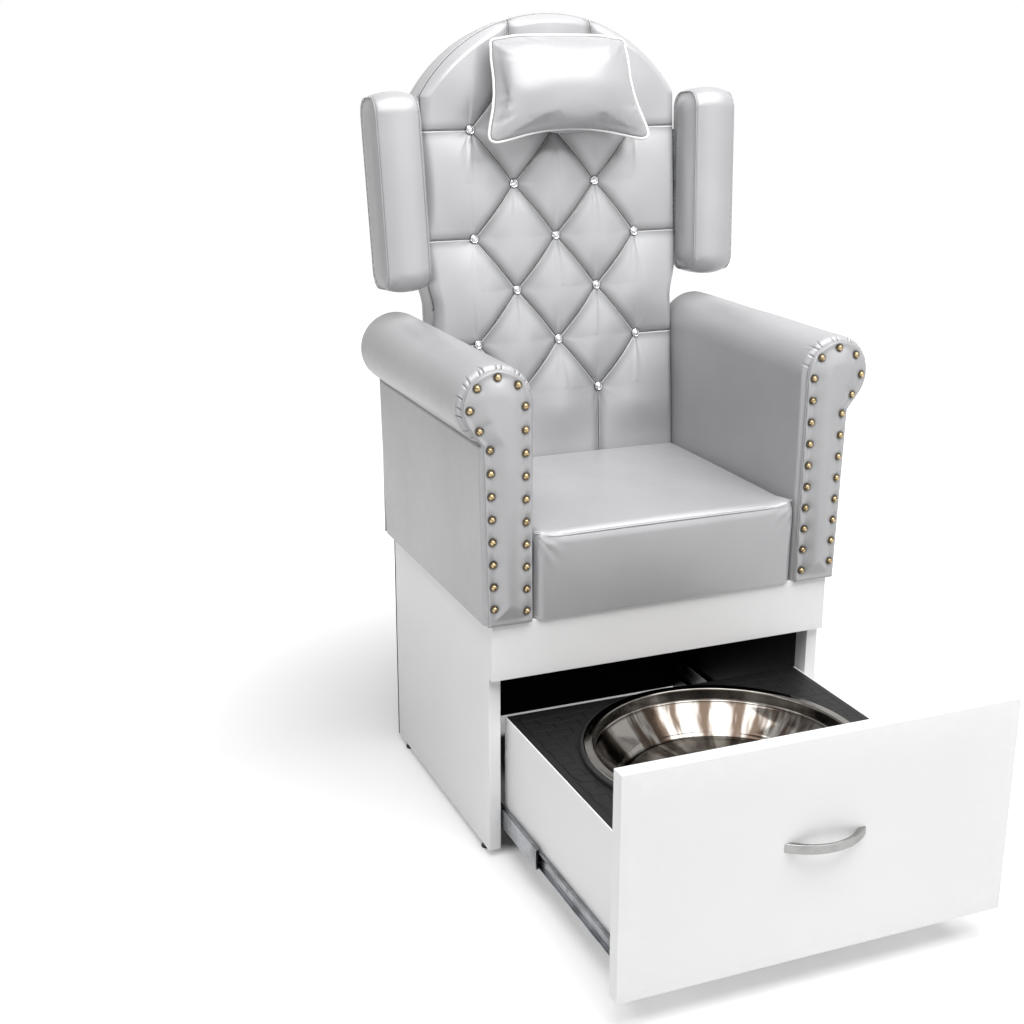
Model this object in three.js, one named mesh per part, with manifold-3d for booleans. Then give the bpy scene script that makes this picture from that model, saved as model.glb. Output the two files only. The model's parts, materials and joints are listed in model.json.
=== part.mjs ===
// Pedicure spa chair: an upholstered scroll-arm chair on a cabinet whose wide drawer carries a foot bowl.
// Millimetres. +Z is up, the chair faces -Y, and left and right are as seen from the front.
// The origin is at the bottom centre of the whole chair with its drawer pulled out.

import * as THREE from 'three';
import { mergeVertices } from 'three/addons/utils/BufferGeometryUtils.js';
import Module from 'manifold-3d';

// ---------------------------------------------------------------- driving dimensions
const GAP = 0.3; // between pieces that touch
const MERGE = 1e-4; // points closer than this are one

// Cabinet. Y = 0 is the front edge of its side panels until the chair is centred at the end.
const CABINET_WIDTH = 650;
const CABINET_DEPTH = 505;
const CABINET_HEIGHT = 429.7;
const SIDE_BOARD = 22;
const TOP_BOARD = 16;
const BACK_SHEET = 5;
const FASCIA_BOARD = 15.7;
const FASCIA_HEIGHT = 102;
const GLIDE_HEIGHT = 14;
const GLIDE_RADIUS = 10;
const GLIDE_INSET = 40;

// Drawer slides: three nested steel channels, 45 mm tall and 12.7 mm thick.
const SLIDE_HEIGHT = 45;
const SLIDE_THICKNESS = 12.7;
const SLIDE_STEEL = 1.3;
const SLIDE_BALL = 2.6;
const SLIDE_SHAKE = 0.9;
const SLIDE_SETBACK = 2; // from the front edge of the cabinet's sides
const SLIDE_REAR_GAP = 3; // from their rear edge
const SLIDE_MIDDLE_SHORTER = 10;
const SLIDE_OVERLAP = 11; // length still engaged when the drawer is fully out
const SLIDE_LIP = 8;

// Drawer, drawn as pulled out.
const SLIDE_MIDDLE_TRAVEL = 150;
const DRAWER_FRONT_WIDTH = 675;
const DRAWER_FRONT_HEIGHT = 364.5;
const DRAWER_FRONT_BOARD = 25;
const DRAWER_FRONT_RISE = 39; // above the cabinet's bottom edge
const DRAWER_REVEAL = 2; // from the fascia when shut
const DRAWER_REAR_GAP = 3; // from the cabinet's rear edge when shut
const DRAWER_BOARD = 15;
const DRAWER_RISE = 35.5; // drawer sides above the cabinet's bottom edge
const DECK_TOP = 259.5;
const DECK_BOARD = 18;
const DECK_LIP = 2.7; // thin white edge of the drawer side outside the deck
const BOTTOM_BOARD = 8;
const BOTTOM_RISE = 3;

// Handle: a bowed strip of metal.
const HANDLE_LENGTH = 141;
const HANDLE_REACH = 27;
const HANDLE_STRIP_HEIGHT = 15;
const HANDLE_STRIP = 5;
const HANDLE_FOOT = 16;
const HANDLE_Z = 248.5;

// Foot bowl.
const BOWL_RADIUS = 234;
const BOWL_FLANGE = 17;
const BOWL_DEPTH = 70;
const BOWL_FLOOR_RADIUS = 160;
const BOWL_CORNER = 16;
const BOWL_CORNER_TURN = Math.PI / 3; // from the floor up into the sloping wall
const BOWL_BEAD_DROP = 22; // from the rim to the bead round the wall
const BOWL_BEAD = 2;
const BOWL_STEEL = 2;
const BOWL_SETBACK = 238; // its centre in front of the cabinet's side panels
const SEAL_THICKNESS = 9;
const SEAL_WIDTH = 19;
const SEAL_OVERHANG = 6;
const DECK_HOLE_CLEARANCE = 3;

// Scroll arms.
const BODY_WIDTH = 675;
const BODY_OVERHANG = 26; // behind the cabinet's sides
const ARM_SPACING = 500; // between the arms' inner faces
const ARM_FRONT = 20; // in front of the cabinet's side panels
const ROLL_RADIUS = 66.5;
const ROLL_Z = 817;
const NECK_INSET = 38; // from the roll's outermost line to the crease below it
const ARM_EDGE = 12;
const ROLL_REAR_EDGE = 28;
const FRONT_PAD = 5.7;
const FRONT_PAD_EDGE = 2;
const FRONT_PAD_RADIUS = 58;
const FRONT_PAD_MARGIN_IN = 5;
const FRONT_PAD_MARGIN_OUT = 4.5;
const FRONT_PAD_TURN = THREE.MathUtils.degToRad(37.5); // below the roll's middle, where its line leaves it

// Brass dome nails on a thin trim ribbon round each scroll front.
const NAIL_RADIUS = 6;
const NAIL_HEIGHT = 4.5;
const NAIL_SHOULDER = [4.5, 3.15]; // radius and height where its dome turns inwards
const NAIL_INSET = 10.5;
const NAIL_SPACING = 38.8;
const NAIL_END = 5;
const RIBBON_HALF_WIDTH = 2;
const RIBBON_THICKNESS = 0.8;

// Seat.
const SEAT_FRONT = 23;
const SEAT_EDGE_HEIGHT = 150; // above the body's bottom, at the seat's edges
const SEAT_CROWN = 7;
const SEAT_EDGE = 20;
const SEAT_CLEARANCE = 0.5;
const SEAT_BOARD = 18;
const SEAT_BOARD_INSET = 25;
const SEAT_BOARD_REAR_INSET = 30;

// Backrest, in a frame that leans back: X across, V up the slope, N forward of the button plane.
const BACK_LEAN = THREE.MathUtils.degToRad(5.1);
const BACK_PLANE_Z = 774.5; // a height at which the button plane is BACK_SETBACK in front of the body's rear
const BACK_SETBACK = 76;
const BACK_THICKNESS = 75;
const BACK_BOARD = 16;
const BACK_COVER = 4;
const BACK_BOARD_INSET = 3;
const BACK_HALF_WIDTH = 259;
const BACK_ARCH_RADIUS = 304;
const BACK_ARCH_V = 341.5; // height of the arch's centre
const BACK_WIDEN_FROM = 112; // above the arms, up the slope
const BACK_WIDEN_OVER = 60;
const BACK_EDGE = 12;
const BACK_CLEARANCE = 0.7;

// Tufting: buttons on a diamond lattice with a pleat along every side of a diamond.
const TUFT_COLUMN = 82.9;
const TUFT_ROW = 98.9;
const TUFT_ROWS = 7;
const TUFT_FIRST_V = -56.2;
const TUFT_EVEN_COLUMNS = [-1, 1]; // rows are counted from 0
const TUFT_ODD_COLUMNS = [-2, 0, 2];
const TUFT_CROWN = 18;
const TUFT_PLEAT = 8;
const TUFT_FULLNESS = 0.45;
const BUTTON_RADIUS = 8;
const BUTTON_HEIGHT = 6.5;
const BUTTON_TABLE = 4.8; // radius of its flat top
const BUTTON_STEM = 2; // radius of the stem behind it

// Wings beside the head.
const WING_WIDTH = 90;
const WING_DEPTH = 104;
const WING_LENGTH = 356;
const WING_V = 331;
const WING_FRONT = 57; // forward of the button plane
const WING_INNER = 271; // from the middle of the back at the wing's mid height
const WING_SPLAY = THREE.MathUtils.degToRad(1.6);
const WING_EDGE = 22;
const WING_CROWN = 4;
const WING_BRACKET_LENGTH = 200;
const WING_BRACKET_WIDTH = 18;
const WING_BRACKET_N = -15;

// Head pillow, held to the backrest by a hook patch and a loop patch.
const PILLOW_V = 500;
const PILLOW_HEIGHT = 206;
const PILLOW_TOP_WIDTH = 264;
const PILLOW_BOTTOM_WIDTH = 312;
const PILLOW_PINCH = 16;
const PILLOW_THICKNESS = 100;
const PILLOW_SEAM = 7;
const PILLOW_SEAM_TOP = 14; // its seam's distance from the pillow's rear face, at the top edge
const PILLOW_SEAM_BOTTOM = 68;
const PILLOW_ARCH = 24; // of its foot, upwards in the middle
const PILLOW_FULLNESS = 0.45;
const PATCH_WIDTH = 80;
const PATCH_HEIGHT = 40;
const PATCH_THICKNESS = 1.5;

// Rear panel of the seat body.
const REAR_PANEL = 5;
const REAR_PANEL_TOP = 700;

// Facets.
const ROUND_FACETS = 40;
const ROLL_FACETS = 18;
const ARCH_FACETS = 20;
const GLIDE_FACETS = 16;
const BUTTON_FACETS = 8;
const NAIL_FACETS = 6;
const ARM_EDGE_FACETS = 3;
const BOWL_CORNER_FACETS = 3;
const PILLOW_CELLS = 12;
const SEAT_CELLS = [8, 8, 1]; // across, front to back and up, between the rounded edges
const WING_CELLS = [3, 1, 4];
const TUFT_CELLS = 4; // per column, and per row, of the button lattice
const TUFT_EDGE_COLUMNS = 11; // cells each side of the middle
const TUFT_ROWS_BELOW = 5; // cells below the lowest buttons
const ARCH_ROWS = 5; // above the top buttons
const EDGE_STEPS = [0, 0.15, 0.5]; // of the backrest's rounded edge, from its side inwards

// ---------------------------------------------------------------- sizes that follow
const cabinetHalf = CABINET_WIDTH / 2;
const bayHalf = cabinetHalf - SIDE_BOARD;
const cabinetBottom = GLIDE_HEIGHT;
const cabinetTop = cabinetBottom + CABINET_HEIGHT;
const fasciaFront = -GAP - FASCIA_BOARD;
const slideLength = CABINET_DEPTH - SLIDE_SETBACK - SLIDE_REAR_GAP;
const drawerTravel = slideLength - SLIDE_OVERLAP;
const bodyBottom = cabinetTop + GAP;
const bodyHalf = BODY_WIDTH / 2;
const bodyRear = CABINET_DEPTH + BODY_OVERHANG;
const armInner = ARM_SPACING / 2;

const drawerBottom = cabinetBottom + DRAWER_RISE;
const drawerHalf = bayHalf - SLIDE_THICKNESS - 2 * GAP;
const frontBack = fasciaFront - DRAWER_REVEAL - drawerTravel; // rear face of the drawer front
const frontFace = frontBack - DRAWER_FRONT_BOARD;
const drawerStart = frontBack + GAP;
const drawerRear = CABINET_DEPTH - DRAWER_REAR_GAP - drawerTravel;
const deckUnderside = DECK_TOP - DECK_BOARD;
const deckHalf = drawerHalf - DECK_LIP - GAP;

const rimTop = DECK_TOP + GAP + SEAL_THICKNESS + GAP + BOWL_STEEL;
const bowlWallRadius = BOWL_RADIUS - BOWL_FLANGE;
const deckHoleRadius = bowlWallRadius + BOWL_STEEL + DECK_HOLE_CLEARANCE;

const backPlaneMiddle = bodyRear - BACK_SETBACK;
const backHalfLow = armInner - BACK_CLEARANCE;
const backRise = (z) => (z - BACK_PLANE_Z) / Math.cos(BACK_LEAN);
const backPlaneY = (z) => backPlaneMiddle + (z - BACK_PLANE_Z) * Math.tan(BACK_LEAN);
const backBottom = backRise(bodyBottom + BACK_THICKNESS * Math.sin(BACK_LEAN));
const backFootV = BACK_ARCH_V + Math.sqrt(BACK_ARCH_RADIUS ** 2 - BACK_HALF_WIDTH ** 2);
const cushionRear = BACK_THICKNESS - BACK_COVER - BACK_BOARD - 2 * GAP;

// ---------------------------------------------------------------- finishes
const finish = (color, roughness, metalness) => (
  new THREE.MeshStandardMaterial({ color, roughness, metalness })
);
const LAMINATE = finish(0xf2f2f2, 0.35, 0);
const BLACK_BOARD = finish(0x161616, 0.8, 0);
const BLACK_VINYL = finish(0x1c1c1d, 0.5, 0);
const BLACK_RUBBER = finish(0x121212, 0.7, 0);
const SILVER_VINYL = finish(0xb9babd, 0.35, 0.2);
const PLYWOOD = finish(0xc9a877, 0.7, 0);
const ZINC = finish(0x8d9094, 0.35, 1);
const NICKEL = finish(0xb8b8b6, 0.3, 1);
const STAINLESS = finish(0xc9c6c2, 0.12, 1);
const BRASS = finish(0xb98f4a, 0.3, 1);
const CRYSTAL = finish(0xe6eaf0, 0.05, 0.3);
const HOOK_TAPE = finish(0x8a8b8e, 0.95, 0);

// ---------------------------------------------------------------- building blocks
const wasm = await Module();
wasm.setup();

const chair = new THREE.Group();
const back = new THREE.Group();
back.position.set(0, backPlaneMiddle, BACK_PLANE_Z);
back.rotation.x = -BACK_LEAN;
chair.add(back);

const SIDES = [['left', -1], ['right', 1]];
const vec2 = (x, y) => new THREE.Vector2(x, y);
const vec3 = (x, y, z) => new THREE.Vector3(x, y, z);

/** Adds a named piece to a group. */
function piece(name, geometry, material, group = chair) {
  const mesh = new THREE.Mesh(geometry, material);
  mesh.name = name;
  group.add(mesh);
  return mesh;
}

/** A plain board between two corners. */
function board(name, material, [x0, x1], [y0, y1], [z0, z1], group = chair) {
  const mesh = piece(name, new THREE.BoxGeometry(x1 - x0, y1 - y0, z1 - z0), material, group);
  mesh.position.set((x0 + x1) / 2, (y0 + y1) / 2, (z0 + z1) / 2);
  return mesh;
}

/** The two ends of a span on one side of the chair, in rising order. */
const span = (sign, inner, outer) => (sign > 0 ? [inner, outer] : [-outer, -inner]);

/** Evenly spaced values from first to last, both included. */
const steps = (first, last, count) => (
  Array.from({ length: count + 1 }, (_, i) => first + ((last - first) * i) / count)
);

/** Grid lines across a piece with rounded edges: close together over each bend, even between. */
function bendLines(low, high, radius, cells) {
  const halfBend = radius * (1 - Math.tan(Math.PI / 8));
  return [low, low + halfBend, ...steps(low + radius, high - radius, cells), high - halfBend, high];
}

/** A closed surface from shared points and triangles, faces out; side -1 mirrors it across X = 0. */
function closedSurface(points, triangles, side = 1) {
  const placed = points.map((p) => vec3(p.x * side, p.y, p.z));
  const volume = triangles.reduce((sum, [a, b, c]) => {
    const cross = new THREE.Vector3().crossVectors(placed[b], placed[c]);
    return sum + placed[a].dot(cross);
  }, 0);
  const ordered = volume < 0 ? triangles.map(([a, b, c]) => [a, c, b]) : triangles;
  const geometry = new THREE.BufferGeometry();
  geometry.setAttribute('position', new THREE.Float32BufferAttribute(placed.flatMap((p) => p.toArray()), 3));
  geometry.setIndex(ordered.flat());
  geometry.computeVertexNormals();
  return geometry;
}

/** Sections across Y, each an outline in X and Z, joined in order and closed at both ends. */
function loft(sections, side = 1) {
  const clockwise = THREE.ShapeUtils.isClockWise(sections[0].outline);
  const outlines = sections.map(({ outline }) => (clockwise ? [...outline].reverse() : outline));
  const count = outlines[0].length;
  const points = outlines.flatMap((outline, s) => outline.map((p) => vec3(p.x, sections[s].y, p.y)));
  const triangles = [];
  for (let s = 0; s + 1 < sections.length; s++) {
    for (let i = 0; i < count; i++) {
      const a = s * count + i;
      const b = s * count + ((i + 1) % count);
      triangles.push([a, b, b + count], [a, b + count, a + count]);
    }
  }
  const last = points.length - count;
  const cap = (outline) => THREE.ShapeUtils.triangulateShape(outline, []);
  triangles.push(...cap(outlines[0]).map(([a, b, c]) => [a, c, b]));
  triangles.push(...cap(outlines.at(-1)).map(([a, b, c]) => [last + a, last + b, last + c]));
  return closedSurface(points, triangles, side);
}

/** The surface of a box of grid lines, with every point moved by place(x, y, z). */
function shell(xs, ys, zs, place, side = 1) {
  const ids = new Map();
  const points = [];
  const triangles = [];
  const id = (i, j, k) => {
    const key = `${i},${j},${k}`;
    if (!ids.has(key)) {
      ids.set(key, points.length);
      points.push(place(xs[i], ys[j], zs[k]));
    }
    return ids.get(key);
  };
  const face = (countA, countB, at) => {
    for (let a = 0; a < countA; a++) {
      for (let b = 0; b < countB; b++) {
        const corners = [at(a, b), at(a + 1, b), at(a + 1, b + 1), at(a, b + 1)];
        triangles.push([corners[0], corners[1], corners[2]], [corners[0], corners[2], corners[3]]);
      }
    }
  };
  const [nx, ny, nz] = [xs.length - 1, ys.length - 1, zs.length - 1];
  face(nx, ny, (a, b) => id(a, b, nz));
  face(ny, nx, (a, b) => id(b, a, 0));
  face(ny, nz, (a, b) => id(nx, a, b));
  face(nz, ny, (a, b) => id(0, b, a));
  face(nz, nx, (a, b) => id(b, ny, a));
  face(nx, nz, (a, b) => id(a, 0, b));
  return closedSurface(points, triangles, side);
}

/** A point on a box's surface, moved onto the same box with its edges rounded. */
function onRoundedBox(point, low, high, radius) {
  const core = point.clone().clamp(low.clone().addScalar(radius), high.clone().addScalar(-radius));
  return core.clone().add(point.clone().sub(core).setLength(radius));
}

/** The points and triangles of an indexed geometry. */
function sharedPoints(geometry) {
  const position = geometry.getAttribute('position');
  const index = Array.from(geometry.getIndex().array);
  const points = Array.from({ length: position.count }, (_, i) => vec3().fromBufferAttribute(position, i));
  const triangles = Array.from({ length: index.length / 3 }, (_, i) => index.slice(3 * i, 3 * i + 3));
  return { points, triangles };
}

/** A turned piece: a closed profile of radius and height, round a vertical axis. */
function turned(profile, facets) {
  const geometry = new THREE.LatheGeometry(profile.map(([r, z]) => vec2(r, z)), facets);
  geometry.rotateX(Math.PI / 2);
  geometry.deleteAttribute('normal');
  geometry.deleteAttribute('uv');
  const { points, triangles } = sharedPoints(mergeVertices(geometry, MERGE));
  return closedSurface(points, triangles.filter((corners) => new Set(corners).size === 3));
}

/** A solid for joining and cutting, from a closed geometry. */
function solid(geometry) {
  const bare = geometry.clone();
  bare.deleteAttribute('normal');
  bare.deleteAttribute('uv');
  const merged = mergeVertices(bare, MERGE);
  return new wasm.Manifold(new wasm.Mesh({
    numProp: 3,
    vertProperties: new Float32Array(merged.getAttribute('position').array),
    triVerts: new Uint32Array(merged.getIndex().array),
  }));
}

/** The geometry of a joined or cut solid. */
function geometryOf(manifold) {
  const mesh = manifold.getMesh();
  const geometry = new THREE.BufferGeometry();
  geometry.setAttribute('position', new THREE.Float32BufferAttribute(mesh.vertProperties, 3));
  geometry.setIndex(Array.from(mesh.triVerts));
  geometry.computeVertexNormals();
  return geometry;
}

// ---------------------------------------------------------------- cabinet
function buildCabinet() {
  const depth = [0, CABINET_DEPTH];
  const height = [cabinetBottom, cabinetTop];
  for (const [side, sign] of SIDES) {
    board(`side_panel_${side}`, LAMINATE, span(sign, bayHalf, cabinetHalf), depth, height);
    for (const [end, y] of [['front', GLIDE_INSET], ['rear', CABINET_DEPTH - GLIDE_INSET]]) {
      const tall = GLIDE_HEIGHT - GAP;
      const disc = new THREE.CylinderGeometry(GLIDE_RADIUS, GLIDE_RADIUS, tall, GLIDE_FACETS);
      disc.rotateX(Math.PI / 2);
      const glide = piece(`foot_glide_${end}_${side}`, disc, BLACK_RUBBER);
      glide.position.set(sign * (cabinetHalf - SIDE_BOARD / 2), y, tall / 2);
    }
  }
  const inner = [-bayHalf + GAP, bayHalf - GAP];
  board('cabinet_top', BLACK_BOARD, inner, depth, [cabinetTop - TOP_BOARD, cabinetTop]);
  const sheet = [CABINET_DEPTH + GAP, CABINET_DEPTH + GAP + BACK_SHEET];
  board('cabinet_back', BLACK_BOARD, [-cabinetHalf, cabinetHalf], sheet, height);
  const fascia = [cabinetTop - FASCIA_HEIGHT, cabinetTop];
  board('fascia', LAMINATE, [-cabinetHalf, cabinetHalf], [fasciaFront, -GAP], fascia);
}

// ---------------------------------------------------------------- drawer slides
/** A steel channel's section: its web and lips run from one distance off the side panel to another. */
function channel(web, lipEnd, inset) {
  const low = drawerBottom + inset;
  const high = drawerBottom + SLIDE_HEIGHT - inset;
  const x = (distance) => bayHalf - distance;
  const steel = Math.sign(lipEnd - web) * SLIDE_STEEL;
  return [
    vec2(x(web), low), vec2(x(lipEnd), low), vec2(x(lipEnd), low + SLIDE_STEEL),
    vec2(x(web + steel), low + SLIDE_STEEL), vec2(x(web + steel), high - SLIDE_STEEL),
    vec2(x(lipEnd), high - SLIDE_STEEL), vec2(x(lipEnd), high), vec2(x(web), high),
  ];
}

function buildSlides() {
  const nest = SLIDE_STEEL + SLIDE_BALL;
  const middleWeb = GAP + SLIDE_STEEL + SLIDE_SHAKE;
  const innerWeb = GAP + SLIDE_THICKNESS;
  const innerLip = innerWeb - SLIDE_LIP + SLIDE_SHAKE;
  const middleLength = slideLength - SLIDE_MIDDLE_SHORTER;
  const members = [
    ['outer', channel(GAP, GAP + SLIDE_LIP, 0), SLIDE_SETBACK, slideLength],
    ['middle', channel(middleWeb, middleWeb + SLIDE_LIP, nest), -SLIDE_MIDDLE_TRAVEL, middleLength],
    ['inner', channel(innerWeb, innerLip, 2 * nest), drawerStart + GAP, slideLength],
  ];
  for (const [side, sign] of SIDES) {
    for (const [member, outline, start, length] of members) {
      const sections = [start, start + length].map((y) => ({ y, outline }));
      piece(`slide_${member}_${side}`, loft(sections, sign), ZINC);
    }
  }
}

// ---------------------------------------------------------------- drawer
function buildDrawer() {
  const boxDepth = [drawerStart, drawerRear];
  const boardInner = drawerHalf - DRAWER_BOARD;
  const sideTop = DECK_TOP;
  const ledge = deckUnderside - GAP;
  const sideOutline = [
    vec2(boardInner, drawerBottom), vec2(drawerHalf, drawerBottom), vec2(drawerHalf, sideTop),
    vec2(drawerHalf - DECK_LIP, sideTop), vec2(drawerHalf - DECK_LIP, ledge), vec2(boardInner, ledge),
  ];
  for (const [side, sign] of SIDES) {
    piece(`drawer_side_${side}`, loft(boxDepth.map((y) => ({ y, outline: sideOutline })), sign), LAMINATE);
  }
  const inner = [-boardInner + GAP, boardInner - GAP];
  const backFront = drawerRear - DRAWER_BOARD;
  board('drawer_back', LAMINATE, inner, [backFront, drawerRear], [drawerBottom, ledge]);
  const floor = [drawerBottom + BOTTOM_RISE, drawerBottom + BOTTOM_RISE + BOTTOM_BOARD];
  board('drawer_bottom', LAMINATE, inner, [drawerStart, backFront - GAP], floor);

  const frontBottom = cabinetBottom + DRAWER_FRONT_RISE;
  const frontHeight = [frontBottom, frontBottom + DRAWER_FRONT_HEIGHT];
  const frontHalf = DRAWER_FRONT_WIDTH / 2;
  board('drawer_front', LAMINATE, [-frontHalf, frontHalf], [frontFace, frontBack], frontHeight);

  const deck = new THREE.Shape([
    vec2(-deckHalf, drawerStart), vec2(deckHalf, drawerStart),
    vec2(deckHalf, drawerRear), vec2(-deckHalf, drawerRear),
  ]);
  deck.holes.push(new THREE.Path().absarc(0, -BOWL_SETBACK, deckHoleRadius, 0, 2 * Math.PI, true));
  const deckGeometry = new THREE.ExtrudeGeometry(deck, {
    depth: DECK_BOARD, bevelEnabled: false, curveSegments: ROUND_FACETS,
  });
  piece('drawer_deck', deckGeometry, BLACK_VINYL).position.z = deckUnderside;
}

/** A bow with flat feet: its outer and inner edges are arcs through the feet and the middle. */
function buildHandle() {
  const half = HANDLE_LENGTH / 2;
  const arc = (halfWidth, reach) => {
    const radius = (halfWidth ** 2 + reach ** 2) / (2 * reach);
    const swing = Math.asin(halfWidth / radius);
    const along = (a) => vec2(radius * Math.sin(a), radius * Math.cos(a) - radius + reach);
    return steps(-swing, swing, ROLL_FACETS).map(along);
  };
  const under = arc(half - HANDLE_FOOT, HANDLE_REACH - HANDLE_STRIP);
  const outline = [...arc(half, HANDLE_REACH), ...under.reverse()];
  const geometry = new THREE.ExtrudeGeometry(new THREE.Shape(outline), {
    depth: HANDLE_STRIP_HEIGHT, bevelEnabled: false,
  });
  const handle = piece('drawer_handle', geometry, NICKEL);
  handle.rotation.x = Math.PI;
  handle.position.set(0, frontFace - GAP, HANDLE_Z + HANDLE_STRIP_HEIGHT / 2);
}

// ---------------------------------------------------------------- foot bowl
/** A line moved sideways by a distance, with mitred corners. */
function offsetLine(line, distance) {
  return line.map(([r, z], i) => {
    const [before, after] = [line[Math.max(i - 1, 0)], line[Math.min(i + 1, line.length - 1)]];
    const along = (a, b) => vec2(b[0] - a[0], b[1] - a[1]).normalize();
    const first = i > 0 ? along(before, [r, z]) : along([r, z], after);
    const second = i < line.length - 1 ? along([r, z], after) : first;
    const middle = first.clone().add(second).normalize();
    const reach = distance / middle.dot(first);
    return [r + middle.y * reach, z - middle.x * reach];
  });
}

function buildBowl() {
  const floor = -BOWL_DEPTH;
  const bend = (angle) => [
    BOWL_FLOOR_RADIUS + BOWL_CORNER * Math.sin(angle), floor + BOWL_CORNER * (1 - Math.cos(angle)),
  ];
  const inside = [
    [0, floor],
    ...steps(0, BOWL_CORNER_TURN, BOWL_CORNER_FACETS).map(bend),
    [bowlWallRadius - BOWL_BEAD, -BOWL_BEAD_DROP - BOWL_BEAD],
    [bowlWallRadius, -BOWL_BEAD_DROP],
    [bowlWallRadius, 0],
    [BOWL_RADIUS, 0],
  ];
  const outside = offsetLine(inside, BOWL_STEEL);
  outside[0][0] = 0;
  const bowl = piece('foot_bowl', turned([...inside, ...outside.reverse()], ROUND_FACETS), STAINLESS);
  bowl.position.set(0, -BOWL_SETBACK, rimTop);

  const outer = BOWL_RADIUS + SEAL_OVERHANG;
  const inner = outer - SEAL_WIDTH;
  const ring = [[inner, 0], [outer, 0], [outer, SEAL_THICKNESS], [inner, SEAL_THICKNESS], [inner, 0]];
  const seal = piece('bowl_seal', turned(ring, ROUND_FACETS), BLACK_RUBBER);
  seal.position.set(0, -BOWL_SETBACK, DECK_TOP + GAP);
}

// ---------------------------------------------------------------- scroll arms
/**
 * A scroll's outline on the right: up the outside to the neck, round the roll and down the inside.
 * With a turn, the line from the neck meets the roll smoothly, that far round below its middle.
 */
function scroll({ inner, outer, neck, radius, turn }) {
  const centreX = armInner + ROLL_RADIUS;
  const start = turn ?? Math.acos((neck - centreX) / radius);
  const roll = steps(-start, Math.PI, ROLL_FACETS).map((a) => (
    vec2(centreX + radius * Math.cos(a), ROLL_Z + radius * Math.sin(a))
  ));
  if (turn) roll.unshift(vec2(neck, roll[0].y - (roll[0].x - neck) / Math.tan(turn)));
  return [vec2(outer, bodyBottom), ...roll, vec2(inner, bodyBottom)];
}

const neckX = armInner + 2 * ROLL_RADIUS - NECK_INSET;
const frontPadScroll = (inset) => scroll({
  inner: armInner + FRONT_PAD_MARGIN_IN + inset,
  outer: bodyHalf - FRONT_PAD_MARGIN_OUT - inset,
  neck: neckX - FRONT_PAD_MARGIN_OUT - inset,
  radius: FRONT_PAD_RADIUS - inset,
  turn: FRONT_PAD_TURN,
});
const armScroll = (inset, rollInset = inset) => scroll({
  inner: armInner + inset, outer: bodyHalf - inset, neck: neckX - inset, radius: ROLL_RADIUS - rollInset,
});

/** How far a rounded edge draws in, at a depth behind the face that it runs into. */
const roundedInset = (radius, depth) => (
  radius - Math.sqrt(radius ** 2 - Math.max(radius - depth, 0) ** 2)
);
const frontPadFace = -ARM_FRONT - GAP - FRONT_PAD;

function buildArms() {
  const rear = bodyRear - REAR_PANEL - GAP;
  const depths = (radius) => steps(0, Math.PI / 2, ARM_EDGE_FACETS).map((a) => radius * (1 - Math.cos(a)));
  const armSections = [
    ...depths(ARM_EDGE).map((depth) => (
      { y: -ARM_FRONT + depth, outline: armScroll(roundedInset(ARM_EDGE, depth)) }
    )),
    ...depths(ROLL_REAR_EDGE).reverse().map((depth) => ({
      y: rear - depth,
      outline: armScroll(roundedInset(ARM_EDGE, depth), roundedInset(ROLL_REAR_EDGE, depth)),
    })),
  ];
  const padSections = [
    { y: frontPadFace, outline: frontPadScroll(FRONT_PAD_EDGE) },
    { y: frontPadFace + FRONT_PAD_EDGE, outline: frontPadScroll(0) },
    { y: frontPadFace + FRONT_PAD, outline: frontPadScroll(0) },
  ];
  for (const [side, sign] of SIDES) {
    piece(`arm_${side}`, loft(armSections, sign), SILVER_VINYL);
    piece(`arm_front_${side}`, loft(padSections, sign), SILVER_VINYL);
  }
}

/** Dome nails at even steps along the scroll, both ways from its top, on a ribbon that joins them. */
function buildNailTrim() {
  const base = frontPadFace - GAP;
  const path = new THREE.Path(frontPadScroll(NAIL_INSET));
  const length = path.getLength();
  const roll = FRONT_PAD_RADIUS - NAIL_INSET;
  const crest = length - (ROLL_Z - bodyBottom) - (roll * Math.PI) / 2;
  const first = Math.ceil((NAIL_END - crest) / NAIL_SPACING);
  const last = Math.floor((length - NAIL_END - crest) / NAIL_SPACING);
  const outline = [
    ...frontPadScroll(NAIL_INSET - RIBBON_HALF_WIDTH),
    ...frontPadScroll(NAIL_INSET + RIBBON_HALF_WIDTH).reverse(),
  ];
  const ribbon = [base - RIBBON_THICKNESS, base].map((y) => ({ y, outline }));
  let trim = solid(loft(ribbon));
  const dome = turned([
    [0, 0], [NAIL_RADIUS, 0], NAIL_SHOULDER, [0, NAIL_HEIGHT],
  ], NAIL_FACETS);
  dome.rotateX(Math.PI / 2);
  for (let nail = first; nail <= last; nail++) {
    const spot = path.getPointAt((crest + nail * NAIL_SPACING) / length);
    trim = trim.add(solid(dome.clone().translate(spot.x, base, spot.y)));
  }
  const { points, triangles } = sharedPoints(geometryOf(trim));
  for (const [side, sign] of SIDES) {
    piece(`nail_trim_${side}`, closedSurface(points, triangles, sign), BRASS);
  }
}

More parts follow.
